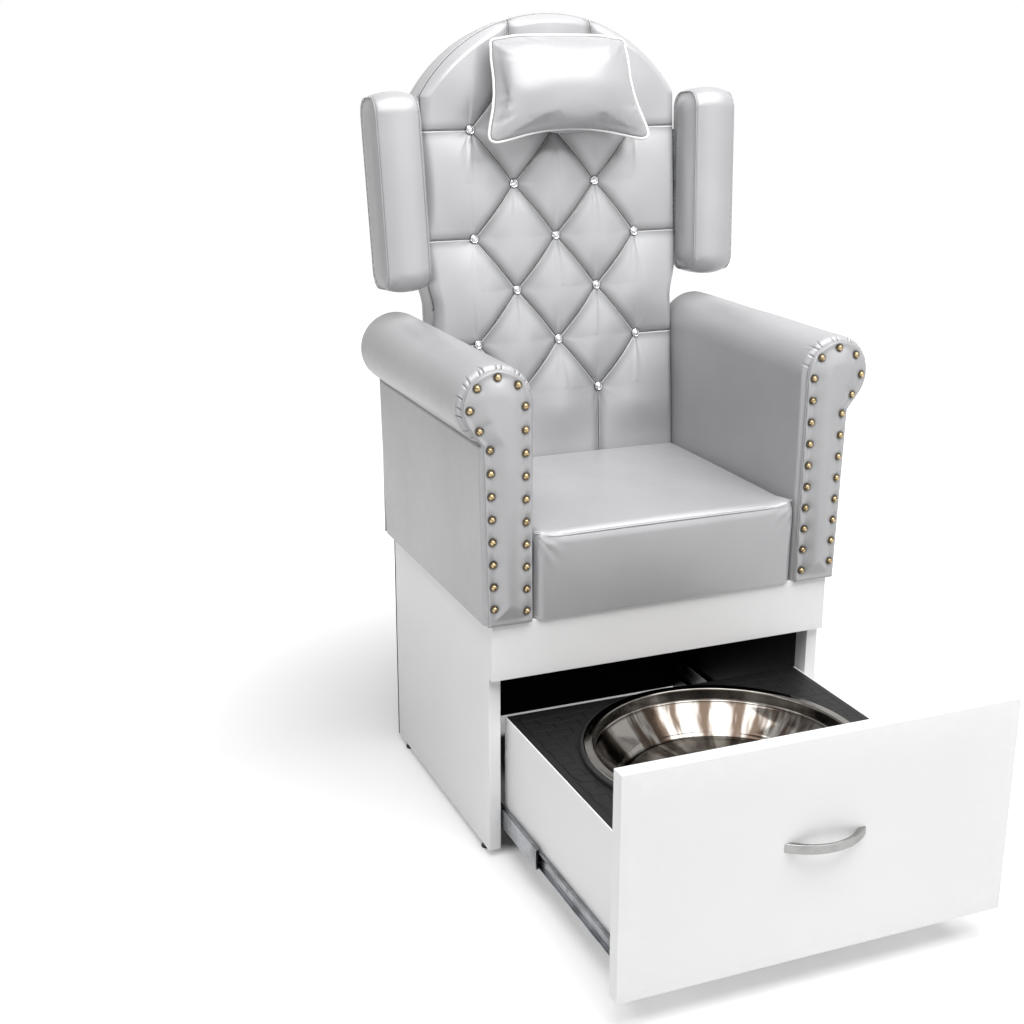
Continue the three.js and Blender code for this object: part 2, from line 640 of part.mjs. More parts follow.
// ---------------------------------------------------------------- seat
function buildSeat() {
  const half = armInner - SEAT_CLEARANCE;
  const edgeTop = bodyBottom + SEAT_EDGE_HEIGHT;
  const rearAt = (z) => backPlaneY(z) - SEAT_CLEARANCE;
  const rear = rearAt(bodyBottom);
  const low = vec3(-half, -SEAT_FRONT, bodyBottom - SEAT_EDGE);
  const high = vec3(half, rear, edgeTop);
  const place = (x, y, z) => {
    const point = onRoundedBox(vec3(x, y, z), low, high, SEAT_EDGE);
    const along = (point.y + SEAT_FRONT) / (rear + SEAT_FRONT);
    if (z === edgeTop) point.z += SEAT_CROWN * (1 - (x / half) ** 2) * (1 - (2 * along - 1) ** 4);
    point.y = -SEAT_FRONT + along * (rearAt(point.z) + SEAT_FRONT);
    return point;
  };
  const cushion = shell(
    bendLines(-half, half, SEAT_EDGE, SEAT_CELLS[0]), bendLines(-SEAT_FRONT, rear, SEAT_EDGE, SEAT_CELLS[1]),
    bendLines(bodyBottom, edgeTop, SEAT_EDGE, SEAT_CELLS[2]), place,
  );
  const boardHalf = half - SEAT_BOARD_INSET;
  const boardDepth = [SEAT_BOARD_INSET - SEAT_FRONT, rear - SEAT_BOARD_REAR_INSET];
  board('seat_board', PLYWOOD, [-boardHalf, boardHalf], boardDepth, [bodyBottom, bodyBottom + SEAT_BOARD]);
  const pocketDepth = boardDepth[1] - boardDepth[0] + 2 * GAP;
  const pocketHeight = 2 * (SEAT_BOARD + GAP);
  const pocket = new THREE.BoxGeometry(2 * (boardHalf + GAP), pocketDepth, pocketHeight);
  pocket.translate(0, (boardDepth[0] + boardDepth[1]) / 2, bodyBottom);
  piece('seat_cushion', geometryOf(solid(cushion).subtract(solid(pocket))), SILVER_VINYL);

  const panelY = [bodyRear - REAR_PANEL, bodyRear];
  board('rear_panel', SILVER_VINYL, [-bodyHalf, bodyHalf], panelY, [bodyBottom, REAR_PANEL_TOP]);
}

// ---------------------------------------------------------------- backrest
/** Half the backrest's width at a height: narrow between the arms, wider above them. */
function backHalfAt(v, inset = 0) {
  const share = THREE.MathUtils.clamp((v - BACK_WIDEN_FROM) / BACK_WIDEN_OVER, 0, 1);
  return THREE.MathUtils.lerp(backHalfLow, BACK_HALF_WIDTH, share) - inset;
}

/** The backrest's outline, X across and V up the slope. */
function backOutline(inset) {
  const [low, wide] = [backHalfLow - inset, BACK_HALF_WIDTH - inset];
  const radius = BACK_ARCH_RADIUS - inset;
  const foot = Math.asin((backFootV - BACK_ARCH_V) / BACK_ARCH_RADIUS);
  const arch = steps(foot, Math.PI - foot, ARCH_FACETS).map((a) => (
    vec2(radius * Math.cos(a), BACK_ARCH_V + radius * Math.sin(a))
  ));
  const widened = BACK_WIDEN_FROM + BACK_WIDEN_OVER;
  return [
    vec2(-low, backBottom), vec2(low, backBottom), vec2(low, BACK_WIDEN_FROM), vec2(wide, widened),
    ...arch, vec2(-wide, widened), vec2(-low, BACK_WIDEN_FROM),
  ];
}

/** How far the tufted face stands forward of the button plane, before its edges round off. */
function tuftRelief(x, v) {
  const column = THREE.MathUtils.clamp(x / TUFT_COLUMN, TUFT_ODD_COLUMNS[0], TUFT_ODD_COLUMNS.at(-1));
  const row = THREE.MathUtils.clamp((v - TUFT_FIRST_V) / TUFT_ROW, 0, TUFT_ROWS - 1);
  const across = Math.abs(Math.sin((Math.PI * (column + row + 1)) / 2));
  const down = Math.abs(Math.sin((Math.PI * (column - row + 1)) / 2));
  const puff = (TUFT_CROWN - TUFT_PLEAT) * (across * down) ** TUFT_FULLNESS;
  return puff + TUFT_PLEAT * Math.max(across, down);
}

const seatLevel = backRise(bodyBottom + SEAT_EDGE_HEIGHT);

/** How far the finished face stands forward of the button plane. */
function backFace(x, v) {
  const archGap = v > BACK_ARCH_V ? BACK_ARCH_RADIUS - Math.hypot(x, v - BACK_ARCH_V) : BACK_EDGE;
  const edge = THREE.MathUtils.clamp(Math.min(backHalfAt(v) - Math.abs(x), archGap), 0, BACK_EDGE);
  const drop = BACK_EDGE - Math.sqrt(BACK_EDGE ** 2 - (BACK_EDGE - edge) ** 2);
  const aboveSeat = THREE.MathUtils.smoothstep(v, seatLevel, seatLevel + TUFT_ROW);
  const towardsMiddle = THREE.MathUtils.smoothstep(edge, 0, BACK_EDGE);
  return tuftRelief(x, v) * aboveSeat * towardsMiddle - drop * Math.sign(aboveSeat);
}

function buildBackCushion() {
  const cellHeight = TUFT_ROW / TUFT_CELLS;
  const lastFullRow = TUFT_FIRST_V + (TUFT_ROWS - 2) * TUFT_ROW;
  const acrossAt = (half) => {
    const reach = (TUFT_EDGE_COLUMNS * TUFT_COLUMN) / TUFT_CELLS;
    const inner = steps(-reach, reach, 2 * TUFT_EDGE_COLUMNS);
    const edge = EDGE_STEPS.map((share) => half - BACK_EDGE * share);
    return [...edge.map((x) => -x), ...inner, ...edge.reverse()];
  };
  const level = (v) => acrossAt(backHalfAt(v)).map((x) => vec3(x, -backFace(x, v), v));
  const archTop = (x) => BACK_ARCH_V + Math.sqrt(BACK_ARCH_RADIUS ** 2 - x ** 2);
  const rows = [level(backBottom)];
  const levels = TUFT_ROWS_BELOW + (TUFT_ROWS - 2) * TUFT_CELLS;
  const lowest = TUFT_FIRST_V - TUFT_ROWS_BELOW * cellHeight;
  rows.push(...steps(lowest, lastFullRow, levels).map(level));
  const topButtons = TUFT_ROW / (archTop(TUFT_COLUMN) - lastFullRow);
  const edgeShare = BACK_EDGE / (archTop(0) - lastFullRow);
  const shares = [
    ...steps(0, topButtons, TUFT_CELLS).slice(1),
    ...steps(topButtons, 1 - edgeShare, ARCH_ROWS).slice(1),
    ...EDGE_STEPS.map((step) => 1 - edgeShare * step).reverse(),
  ];
  for (const share of shares) {
    rows.push(acrossAt(BACK_HALF_WIDTH).map((x) => {
      const v = THREE.MathUtils.lerp(lastFullRow, archTop(x), share);
      return vec3(x, -backFace(x, v), v);
    }));
  }
  const width = rows[0].length;
  const height = rows.length;
  const at = (row, column) => row * width + column;
  const points = rows.flat();
  const triangles = [];
  for (let row = 0; row + 1 < height; row++) {
    for (let column = 0; column + 1 < width; column++) {
      const [a, b] = [at(row, column), at(row, column + 1)];
      const [c, d] = [at(row + 1, column + 1), at(row + 1, column)];
      const latticeRow = row - 1 - TUFT_ROWS_BELOW;
      const latticeColumn = column - EDGE_STEPS.length - TUFT_EDGE_COLUMNS;
      const alongPleat = (latticeRow + latticeColumn) % 2 === 0;
      triangles.push(...(alongPleat ? [[a, b, c], [a, c, d]] : [[a, b, d], [b, c, d]]));
    }
  }
  const rim = [
    ...steps(0, width - 1, width - 1).map((column) => at(0, column)),
    ...steps(1, height - 1, height - 2).map((row) => at(row, width - 1)),
    ...steps(1, width - 1, width - 2).map((column) => at(height - 1, width - 1 - column)),
    ...steps(1, height - 2, height - 3).map((row) => at(height - 1 - row, 0)),
  ];
  const firstRear = points.length;
  points.push(...rim.map((i) => vec3(points[i].x, cushionRear, points[i].z)));
  rim.forEach((a, i) => {
    const next = (i + 1) % rim.length;
    triangles.push([a, firstRear + i, firstRear + next], [a, firstRear + next, rim[next]]);
  });
  const rearOutline = rim.map((i) => vec2(points[i].x, points[i].z));
  const rear = THREE.ShapeUtils.triangulateShape(rearOutline, []);
  triangles.push(...rear.map(([a, b, c]) => [firstRear + a, firstRear + c, firstRear + b]));
  piece('backrest_cushion', closedSurface(points, triangles), SILVER_VINYL, back);
}

function buildBackrest() {
  buildBackCushion();
  const boardFront = cushionRear + GAP;
  const coverFront = boardFront + BACK_BOARD + GAP;
  const slab = (front, thickness) => [front, front + thickness].map((y) => ({
    y, outline: backOutline(BACK_BOARD_INSET),
  }));
  piece('backrest_board', loft(slab(boardFront, BACK_BOARD)), PLYWOOD, back);
  piece('backrest_cover', loft(slab(coverFront, BACK_COVER)), SILVER_VINYL, back);
}

/** Crystal buttons, one where every two pleats cross. Each stands clear of the pleats round it. */
function buildButtons() {
  const cell = TUFT_COLUMN / TUFT_CELLS;
  const pleatSlope = tuftRelief(cell, TUFT_FIRST_V + TUFT_ROW) / cell;
  const seat = pleatSlope * BUTTON_RADIUS + GAP;
  const profile = [
    [0, pleatSlope * BUTTON_STEM + GAP], [BUTTON_STEM, pleatSlope * BUTTON_STEM + GAP],
    [BUTTON_STEM, seat], [BUTTON_RADIUS, seat],
    [BUTTON_RADIUS, seat + BUTTON_HEIGHT / 2], [BUTTON_TABLE, seat + BUTTON_HEIGHT],
    [0, seat + BUTTON_HEIGHT],
  ];
  const button = turned(profile, BUTTON_FACETS);
  button.rotateX(Math.PI / 2);
  let number = 1;
  for (let row = 0; row < TUFT_ROWS; row++) {
    for (const column of row % 2 ? TUFT_ODD_COLUMNS : TUFT_EVEN_COLUMNS) {
      const mesh = piece(`tuft_button_${String(number++).padStart(2, '0')}`, button, CRYSTAL, back);
      mesh.position.set(column * TUFT_COLUMN, 0, TUFT_FIRST_V + row * TUFT_ROW);
    }
  }
}

// ---------------------------------------------------------------- wings
function buildWings() {
  const low = vec3(0, -WING_FRONT, -WING_LENGTH / 2);
  const high = vec3(WING_WIDTH, WING_DEPTH - WING_FRONT, WING_LENGTH / 2);
  const place = (x, y, z) => {
    const point = onRoundedBox(vec3(x, y, z), low, high, WING_EDGE);
    const bulge = (1 - ((2 * x) / WING_WIDTH - 1) ** 2) * (1 - ((2 * z) / WING_LENGTH) ** 4);
    if (y === -WING_FRONT) point.y -= WING_CROWN * bulge;
    return vec3(
      WING_INNER + point.x * Math.cos(WING_SPLAY) + point.z * Math.sin(WING_SPLAY),
      point.y,
      WING_V - point.x * Math.sin(WING_SPLAY) + point.z * Math.cos(WING_SPLAY),
    );
  };
  const xs = bendLines(low.x, high.x, WING_EDGE, WING_CELLS[0]);
  const ys = bendLines(low.y, high.y, WING_EDGE, WING_CELLS[1]);
  const zs = bendLines(low.z, high.z, WING_EDGE, WING_CELLS[2]);
  const wingInnerAt = (v) => WING_INNER + (v - WING_V) * Math.tan(WING_SPLAY) - GAP;
  const [from, to] = [WING_V - WING_BRACKET_LENGTH / 2, WING_V + WING_BRACKET_LENGTH / 2];
  const sideX = BACK_HALF_WIDTH + GAP;
  const bracket = [
    vec2(sideX, from), vec2(wingInnerAt(from), from), vec2(wingInnerAt(to), to), vec2(sideX, to),
  ];
  const bracketY = [-WING_BRACKET_N - WING_BRACKET_WIDTH / 2, -WING_BRACKET_N + WING_BRACKET_WIDTH / 2];
  for (const [side, sign] of SIDES) {
    piece(`wing_${side}`, shell(xs, ys, zs, place, sign), SILVER_VINYL, back);
    piece(`wing_bracket_${side}`, loft(bracketY.map((y) => ({ y, outline: bracket })), sign), ZINC, back);
  }
}

// ---------------------------------------------------------------- head pillow
function buildPillow() {
  const patchV = TUFT_FIRST_V + (TUFT_ROWS - 1) * TUFT_ROW;
  const patchAt = (y) => [[-PATCH_WIDTH / 2, PATCH_WIDTH / 2], [y - PATCH_THICKNESS, y], [
    patchV - PATCH_HEIGHT / 2, patchV + PATCH_HEIGHT / 2,
  ]];
  const loopY = -TUFT_CROWN - GAP;
  const hookY = loopY - PATCH_THICKNESS - GAP;
  board('pillow_loop_patch', HOOK_TAPE, ...patchAt(loopY), back);
  board('pillow_hook_patch', HOOK_TAPE, ...patchAt(hookY), back);

  const rearY = hookY - PATCH_THICKNESS - GAP;
  const place = (across, side, up) => {
    const halfWidth = THREE.MathUtils.lerp(PILLOW_BOTTOM_WIDTH, PILLOW_TOP_WIDTH, (up + 1) / 2) / 2;
    const drawnIn = PILLOW_PINCH * (1 - up ** 2);
    const fill = ((1 - across ** 2) * (1 - up ** 2)) ** PILLOW_FULLNESS;
    const seam = THREE.MathUtils.lerp(PILLOW_SEAM_BOTTOM, PILLOW_SEAM_TOP, (up + 1) / 2);
    const faceAtSeam = seam - (side * PILLOW_SEAM) / 2;
    const n = THREE.MathUtils.lerp(faceAtSeam, side < 0 ? PILLOW_THICKNESS : 0, fill);
    const arch = PILLOW_ARCH * (1 - across ** 2) * Math.min(up, 0) ** 2;
    const v = PILLOW_V + (up * PILLOW_HEIGHT) / 2 + arch;
    return vec3(across * (halfWidth - drawnIn), rearY - n, v);
  };
  const lines = steps(-Math.PI / 2, Math.PI / 2, PILLOW_CELLS).map(Math.sin);
  piece('head_pillow', shell(lines, [-1, 1], lines, place), SILVER_VINYL, back);
}

// ---------------------------------------------------------------- the chair
buildCabinet();
buildSlides();
buildDrawer();
buildHandle();
buildBowl();
buildArms();
buildNailTrim();
buildSeat();
buildBackrest();
buildButtons();
buildWings();
buildPillow();

chair.updateMatrixWorld(true);
const extent = new THREE.Box3().setFromObject(chair, true);
chair.position.set(0, -(extent.min.y + extent.max.y) / 2, -extent.min.z);

export default chair;
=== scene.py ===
"""The looks of an upholstered pedicure spa chair, built round its packed construction.

Lengths are millimetres in the chair's own frame unless a name says otherwise: X to the right as seen
from the front, Y to the back, Z up. Meshes are written in metres.
"""

import json
import logging
import math
from collections.abc import Callable, Iterable
from dataclasses import dataclass, field, replace
from enum import Enum
from functools import cached_property

import bpy
import numpy as np
from mathutils import Euler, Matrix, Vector

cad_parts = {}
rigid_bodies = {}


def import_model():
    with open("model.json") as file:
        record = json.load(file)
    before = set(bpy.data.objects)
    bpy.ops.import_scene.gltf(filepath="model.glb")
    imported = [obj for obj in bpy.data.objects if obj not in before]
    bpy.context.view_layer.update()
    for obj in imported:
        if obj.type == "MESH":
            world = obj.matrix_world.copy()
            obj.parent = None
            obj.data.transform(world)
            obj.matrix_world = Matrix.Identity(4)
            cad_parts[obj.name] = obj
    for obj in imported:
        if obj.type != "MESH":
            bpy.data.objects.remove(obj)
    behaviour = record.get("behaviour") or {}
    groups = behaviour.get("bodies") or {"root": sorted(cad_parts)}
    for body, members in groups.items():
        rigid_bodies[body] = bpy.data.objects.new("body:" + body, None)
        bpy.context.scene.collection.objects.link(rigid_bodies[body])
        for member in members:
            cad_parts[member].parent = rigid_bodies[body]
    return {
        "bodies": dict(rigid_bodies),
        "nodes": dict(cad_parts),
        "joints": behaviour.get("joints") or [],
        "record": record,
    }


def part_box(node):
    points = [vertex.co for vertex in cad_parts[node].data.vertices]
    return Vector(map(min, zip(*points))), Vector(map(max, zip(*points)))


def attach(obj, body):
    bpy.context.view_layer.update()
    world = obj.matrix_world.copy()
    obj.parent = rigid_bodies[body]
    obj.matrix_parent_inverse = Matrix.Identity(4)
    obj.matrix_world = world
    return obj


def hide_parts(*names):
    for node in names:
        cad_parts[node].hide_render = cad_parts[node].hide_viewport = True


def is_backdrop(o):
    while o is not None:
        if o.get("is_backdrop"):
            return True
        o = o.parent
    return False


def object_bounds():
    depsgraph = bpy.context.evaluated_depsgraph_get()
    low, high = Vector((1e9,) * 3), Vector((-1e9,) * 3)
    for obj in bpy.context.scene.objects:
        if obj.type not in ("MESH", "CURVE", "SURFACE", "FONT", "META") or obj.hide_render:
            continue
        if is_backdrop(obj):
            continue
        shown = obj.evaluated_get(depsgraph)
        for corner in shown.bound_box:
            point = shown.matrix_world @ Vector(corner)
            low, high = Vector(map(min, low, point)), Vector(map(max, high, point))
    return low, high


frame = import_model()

Array = np.ndarray
Colour = tuple[float, float, float]
log = logging.getLogger("spa_chair")

METRE = 0.001  # a millimetre in metres
SHARP_ANGLE = math.radians(38)
TURN = 2 * math.pi
QUARTER = math.pi / 2


class Body(Enum):
    """The bodies that move with the joints."""

    CHAIR = "chair"
    DRAWER = "drawer"
    BOWL = "bowl"
    PILLOW = "pillow"
    SLIDE_LEFT = "slide_middle_left"
    SLIDE_RIGHT = "slide_middle_right"


class Slot(Enum):
    """The record's finishes."""

    LAMINATE = "white_laminate"
    BLACK_BOARD = "black_board"
    DECK = "black_vinyl_board"
    RUBBER = "black_rubber"
    VINYL = "silver_vinyl"
    PLYWOOD = "plywood"
    ZINC = "zinc_steel"
    NICKEL = "satin_nickel"
    STAINLESS = "stainless_steel"
    BRASS = "brass_nails"
    CRYSTAL = "crystal"
    TAPE = "hook_and_loop"


class Side(Enum):
    """The chair's two sides, with the sign of X on each."""

    LEFT = -1
    RIGHT = 1

    @property
    def label(self) -> str:
        """The word that ends the names of this side's pieces."""
        return self.name.lower()


# ---------------------------------------------------------------- numbers
def smooth(low: float, high: float, value: Array | float) -> Array | float:
    """A smooth step: 0 below low, 1 above high, with level ends.

    Args:
        low: Where the step starts.
        high: Where it ends; less than low turns the step round.
        value: Numbers to grade.

    Returns:
        The graded numbers, 0 to 1.
    """
    share = np.clip((value - low) / (high - low), 0.0, 1.0)
    return share * share * (3 - 2 * share)


def bell(value: Array, width: float) -> Array:
    """A bell curve of the given width: exp(-(value / width) squared)."""
    return np.exp(-((value / width) ** 2))


def round_edge(gap: Array, radius: float) -> Array:
    """A rounded edge's height, 0 to 1, at a distance inside it."""
    return np.sqrt(np.clip(1 - (1 - np.clip(gap / radius, 0, 1)) ** 2, 0, 1))


def unit(vectors: Array) -> Array:
    """Vectors along the last axis, each divided by its length."""
    return vectors / np.maximum(np.linalg.norm(vectors, axis=-1, keepdims=True), 1e-9)


def node_box(node: str) -> tuple[Array, Array]:
    """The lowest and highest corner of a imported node, in millimetres."""
    low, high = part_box(node)
    return np.array(low) / METRE, np.array(high) / METRE


def run_lengths(path: Array, closed: bool = False) -> Array:
    """Length along a path at each of its points, and at its end where it is closed."""
    line = np.vstack([path, path[:1]]) if closed else path
    return np.concatenate([[0.0], np.cumsum(np.linalg.norm(np.diff(line, axis=0), axis=1))])


def at_lengths(path: Array, lengths: Array, closed: bool = False) -> Array:
    """Points of a path at given lengths along it.

    Args:
        path: Points, one a row.
        lengths: Lengths from its first point.
        closed: Whether its last point joins its first.

    Returns:
        One point for each length.
    """
    line = np.vstack([path, path[:1]]) if closed else path
    run = run_lengths(path, closed)
    wanted = np.mod(lengths, run[-1]) if closed else lengths
    return np.stack([np.interp(wanted, run, line[:, k]) for k in range(line.shape[1])], axis=-1)


def even_points(path: Array, spacing: float, closed: bool = False) -> Array:
    """A path's points, set again at an even spacing close to the one asked for."""
    length = run_lengths(path, closed)[-1]
    count = max(3, round(length / spacing))
    return at_lengths(path, np.linspace(0, length, count + (not closed), endpoint=not closed), closed)


def bend_lines(low: float, high: float, radius: float, cells: int, turns: int = 4) -> Array:
    """Grid lines across a box with rounded edges: equal turns round each bend, even cells between."""
    lead = radius * (1 - np.tan(np.linspace(math.pi / 4, 0, turns, endpoint=False)))
    flat = np.linspace(low + radius, high - radius, cells + 1)
    return np.concatenate([low + lead, flat, high - lead[::-1]])


def arc(x: float, y: float, radius: float, start: float, end: float, count: int) -> Array:
    """Points of an arc round a middle, from one angle to another."""
    turn = np.linspace(start, end, count)
    return np.column_stack([x + radius * np.cos(turn), y + radius * np.sin(turn)])


def circle(radius: float, segments: int = 10) -> Array:
    """A round section."""
    return arc(0, 0, radius, 0, TURN * (1 - 1 / segments), segments)


def rounded_square(turn: Array, power: float) -> Array:
    """X and Y round a square of half size 1 with soft corners: the lower the power, the tighter."""
    ring = np.stack([np.cos(turn), np.sin(turn)])
    return np.sign(ring) * np.abs(ring) ** power


def outward(line: Array, closed: bool = True) -> Array:
    """Directions square to a flat line, to the right of the way along it."""
    ahead = np.roll(line, -1, 0) - np.roll(line, 1, 0) if closed else np.gradient(line, axis=0)
    return unit(np.column_stack([ahead[:, 1], -ahead[:, 0]]))


# ---------------------------------------------------------------- surfaces
@dataclass
class Surface:
    """A mesh in arrays: points, four-cornered faces, other faces, and values at the points."""

    points: Array
    quads: Array
    polygons: list[list[int]] = field(default_factory=list)
    masks: dict[str, Array] = field(default_factory=dict)

    def facing_out(self) -> "Surface":
        """The same closed surface with its faces pointing out, by the sign of its volume."""
        p = self.points - self.points.mean(0)
        fans = [(q[0], q[i], q[i + 1]) for q in self.polygons for i in range(1, len(q) - 1)]
        triangles = np.vstack([
            self.quads[:, [0, 1, 2]], self.quads[:, [0, 2, 3]], np.array(fans, int).reshape(-1, 3),
        ])
        a, b, c = (p[triangles[:, k]] for k in range(3))
        if np.einsum("ij,ij->", a, np.cross(b, c)) < 0:
            self.quads = self.quads[:, ::-1]
            self.polygons = [q[::-1] for q in self.polygons]
        return self

    def mirrored(self, side: Side) -> "Surface":
        """This surface, drawn for the right, on either side of the chair."""
        points = self.points * np.array([side.value, 1, 1])
        return Surface(points, self.quads, self.polygons, self.masks).facing_out()

    def with_shade_and_patina(self, values: Array) -> "Surface":
        """This surface with painted shade marked, and patina on the nail heads: values at its first points,
        and none at the rest.
        """
        fold = np.zeros(len(self.points))
        fold[:values.size] = values.ravel()
        self.masks["fold"] = fold
        return self


def lattice(rows: int, columns: int, wrap_rows: bool = False, wrap_columns: bool = False) -> Array:
    """Four-cornered faces between the points of a grid, numbered row by row."""
    ids = np.arange(rows * columns).reshape(rows, columns)
    if wrap_rows:
        ids = np.vstack([ids, ids[:1]])
    if wrap_columns:
        ids = np.hstack([ids, ids[:, :1]])
    corners = [ids[:-1, :-1], ids[:-1, 1:], ids[1:, 1:], ids[1:, :-1]]
    return np.stack(corners, axis=-1).reshape(-1, 4)


def tube(rings: Array) -> Surface:
    """Rings of points in order, joined into a skin and closed by a face at each end."""
    rows, columns, _ = rings.shape
    ends = [list(range(columns))[::-1], list(range((rows - 1) * columns, rows * columns))]
    return Surface(rings.reshape(-1, 3), lattice(rows, columns, wrap_columns=True), ends).facing_out()


def ring_skin(rings: Array) -> Surface:
    """Rings of points whose last ring joins the first, as round a frame or a wheel."""
    rows, columns, _ = rings.shape
    return Surface(rings.reshape(-1, 3), lattice(rows, columns, True, True)).facing_out()


def drawn(section: Array, ys: Array) -> Surface:
    """A section, X and Z, carried from front to back."""
    return tube(np.stack([np.insert(section, 1, y, axis=1) for y in ys]))


def slab(front: Array, back: Array, layers: int = 1, plain: bool = False) -> Surface:
    """A closed sheet between two grids of points of one shape, joined round their rims.

    Args:
        front: Grid of points of one face.
        back: Grid of points of the other face.
        layers: Rows of faces round the rim.
        plain: Whether one face closes the flat back, in place of its grid.

    Returns:
        The closed surface.
    """
    rows, columns, _ = front.shape
    ids = np.arange(rows * columns).reshape(rows, columns)
    rim = np.concatenate([ids[0, :-1], ids[:-1, -1], ids[-1, :0:-1], ids[:0:-1, 0]])
    flat_front, flat_back = front.reshape(-1, 3), back.reshape(-1, 3)
    shares = (np.arange(1, layers) / layers)[:, None, None]
    between = flat_front[rim] * (1 - shares) + flat_back[rim] * shares
    faces = lattice(rows, columns)
    behind = flat_back[rim] if plain else flat_back
    count, size = rows * columns, len(rim)
    start = count + len(behind)
    last = count + np.arange(size) if plain else count + rim
    belts = [rim, *(start + size * k + np.arange(size) for k in range(layers - 1)), last]
    wall = [np.stack([a, b, np.roll(b, -1), np.roll(a, -1)], axis=-1) for a, b in zip(belts, belts[1:])]
    points = np.vstack([flat_front, behind, between.reshape(-1, 3)])
    if plain:
        return Surface(points, np.vstack([faces, *wall]), [last[::-1].tolist()]).facing_out()
    return Surface(points, np.vstack([faces, faces[:, ::-1] + count, *wall])).facing_out()


def box_grid(xs: Array, ys: Array, zs: Array) -> Surface:
    """The skin of a box of grid lines: every lattice point on its six faces, shared along the edges."""
    on = np.zeros((len(xs), len(ys), len(zs)), bool)
    on[[0, -1]] = on[:, [0, -1]] = on[:, :, [0, -1]] = True
    ids = np.full(on.shape, -1)
    ids[on] = np.arange(on.sum())
    i, j, k = np.nonzero(on)
    faces = [ids[:, :, -1], ids[:, :, 0].T, ids[-1], ids[0].T, ids[:, -1].T, ids[:, 0]]
    quads = [np.stack([f[:-1, :-1], f[1:, :-1], f[1:, 1:], f[:-1, 1:]], -1).reshape(-1, 4) for f in faces]
    return Surface(np.stack([xs[i], ys[j], zs[k]], axis=-1), np.vstack(quads))


def rounded(points: Array, low: Array, high: Array, radius: float) -> Array:
    """Points on a box moved onto the same box with round edges: a ball's radius out from its core."""
    core = np.clip(points, low + radius, high - radius)
    return core + unit(points - core) * radius


def board(low: Array, high: Array, radius: float = 1.0) -> Surface:
    """A board with eased edges, which its mask edge marks."""
    skin = box_grid(*(bend_lines(low[k], high[k], radius, 6, 3) for k in range(3)))
    skin.points = rounded(skin.points, low, high, radius)
    near = np.sort(np.minimum(skin.points - low, high - skin.points), axis=1)[:, 1]
    skin.masks["edge"] = 1 - smooth(0.0, 2 * radius, near)
    return skin.facing_out()


def revolved(profile: Array, centre: Array, segments: int, closed: bool = False) -> Surface:
    """A profile of radius and height, turned round a vertical axis.

    Args:
        profile: Radius and height, one point a row. An open one starts and ends on the axis.
        centre: The axis and the height of its zero.
        segments: Steps round the axis.
        closed: Whether the profile's end joins its start instead, as in a ring.

    Returns:
        The closed surface.
    """
    angles = np.linspace(0, TURN, segments, endpoint=False)
    body = profile if closed else profile[1:-1]
    x = body[:, :1] * np.cos(angles)
    y = body[:, :1] * np.sin(angles)
    rings = np.stack([x, y, np.broadcast_to(body[:, 1:], x.shape)], axis=-1) + centre
    if closed:
        return ring_skin(rings)
    count = rings.shape[0] * segments
    poles = np.array([[0, 0, profile[0, 1]], [0, 0, profile[-1, 1]]]) + centre
    quads = lattice(rings.shape[0], segments, wrap_columns=True)
    first, last = np.arange(segments), np.arange(count - segments, count)
    fans = [[count, int(b), int(a)] for a, b in zip(first, np.roll(first, -1))]
    fans += [[count + 1, int(a), int(b)] for a, b in zip(last, np.roll(last, -1))]
    return Surface(np.vstack([rings.reshape(-1, 3), poles]), quads, fans).facing_out()


def swept(path: Array, normals: Array, section: Array, closed: bool = False) -> Surface:
    """A section carried along a path: its first number goes along the normal, its second across both.

    Args:
        path: Points that the section's zero follows.
        normals: A direction at each point, or one for all, square to the path or nearly.
        section: Points of the closed section.
        closed: Whether the path's end joins its start.

    Returns:
        The closed surface.
    """
    ahead = np.roll(path, -1, 0) - np.roll(path, 1, 0) if closed else np.gradient(path, axis=0)
    across = unit(np.cross(ahead, normals))
    upright = unit(np.cross(across, ahead))
    rings = path[:, None] + upright[:, None] * section[:, :1] + across[:, None] * section[:, 1:]
    return ring_skin(rings) if closed else tube(rings)


def joined(surfaces: Iterable[Surface]) -> Surface:
    """Several surfaces as one list of points and faces."""
    parts = list(surfaces)
    starts = np.cumsum([0, *(len(s.points) for s in parts[:-1])])
    names = set().union(*(s.masks for s in parts))
    masks = {n: np.concatenate([s.masks.get(n, np.zeros(len(s.points))) for s in parts]) for n in names}
    polygons = [[i + int(at) for i in q] for s, at in zip(parts, starts) for q in s.polygons]
    quads = np.vstack([s.quads + at for s, at in zip(parts, starts)])
    return Surface(np.vstack([s.points for s in parts]), quads, polygons, masks)


def copies(seed: Surface, places: Array, frames: Array) -> Surface:
    """One small surface repeated at many places.

    Args:
        seed: The surface, round its own zero.
        places: Where each copy goes, one point a row.
        frames: The directions of the seed's X, Y and Z as three rows, for each copy or one for all.

    Returns:
        All the copies as one surface.
    """
    count = len(seed.points)
    frames = np.broadcast_to(frames, (len(places), 3, 3))
    points = np.einsum("pk,nkj->npj", seed.points, frames) + places[:, None]
    shift = (np.arange(len(places)) * count)[:, None, None]
    polygons = [[i + n * count for i in q] for n in range(len(places)) for q in seed.polygons]
    return Surface(points.reshape(-1, 3), (seed.quads[None] + shift).reshape(-1, 4), polygons)


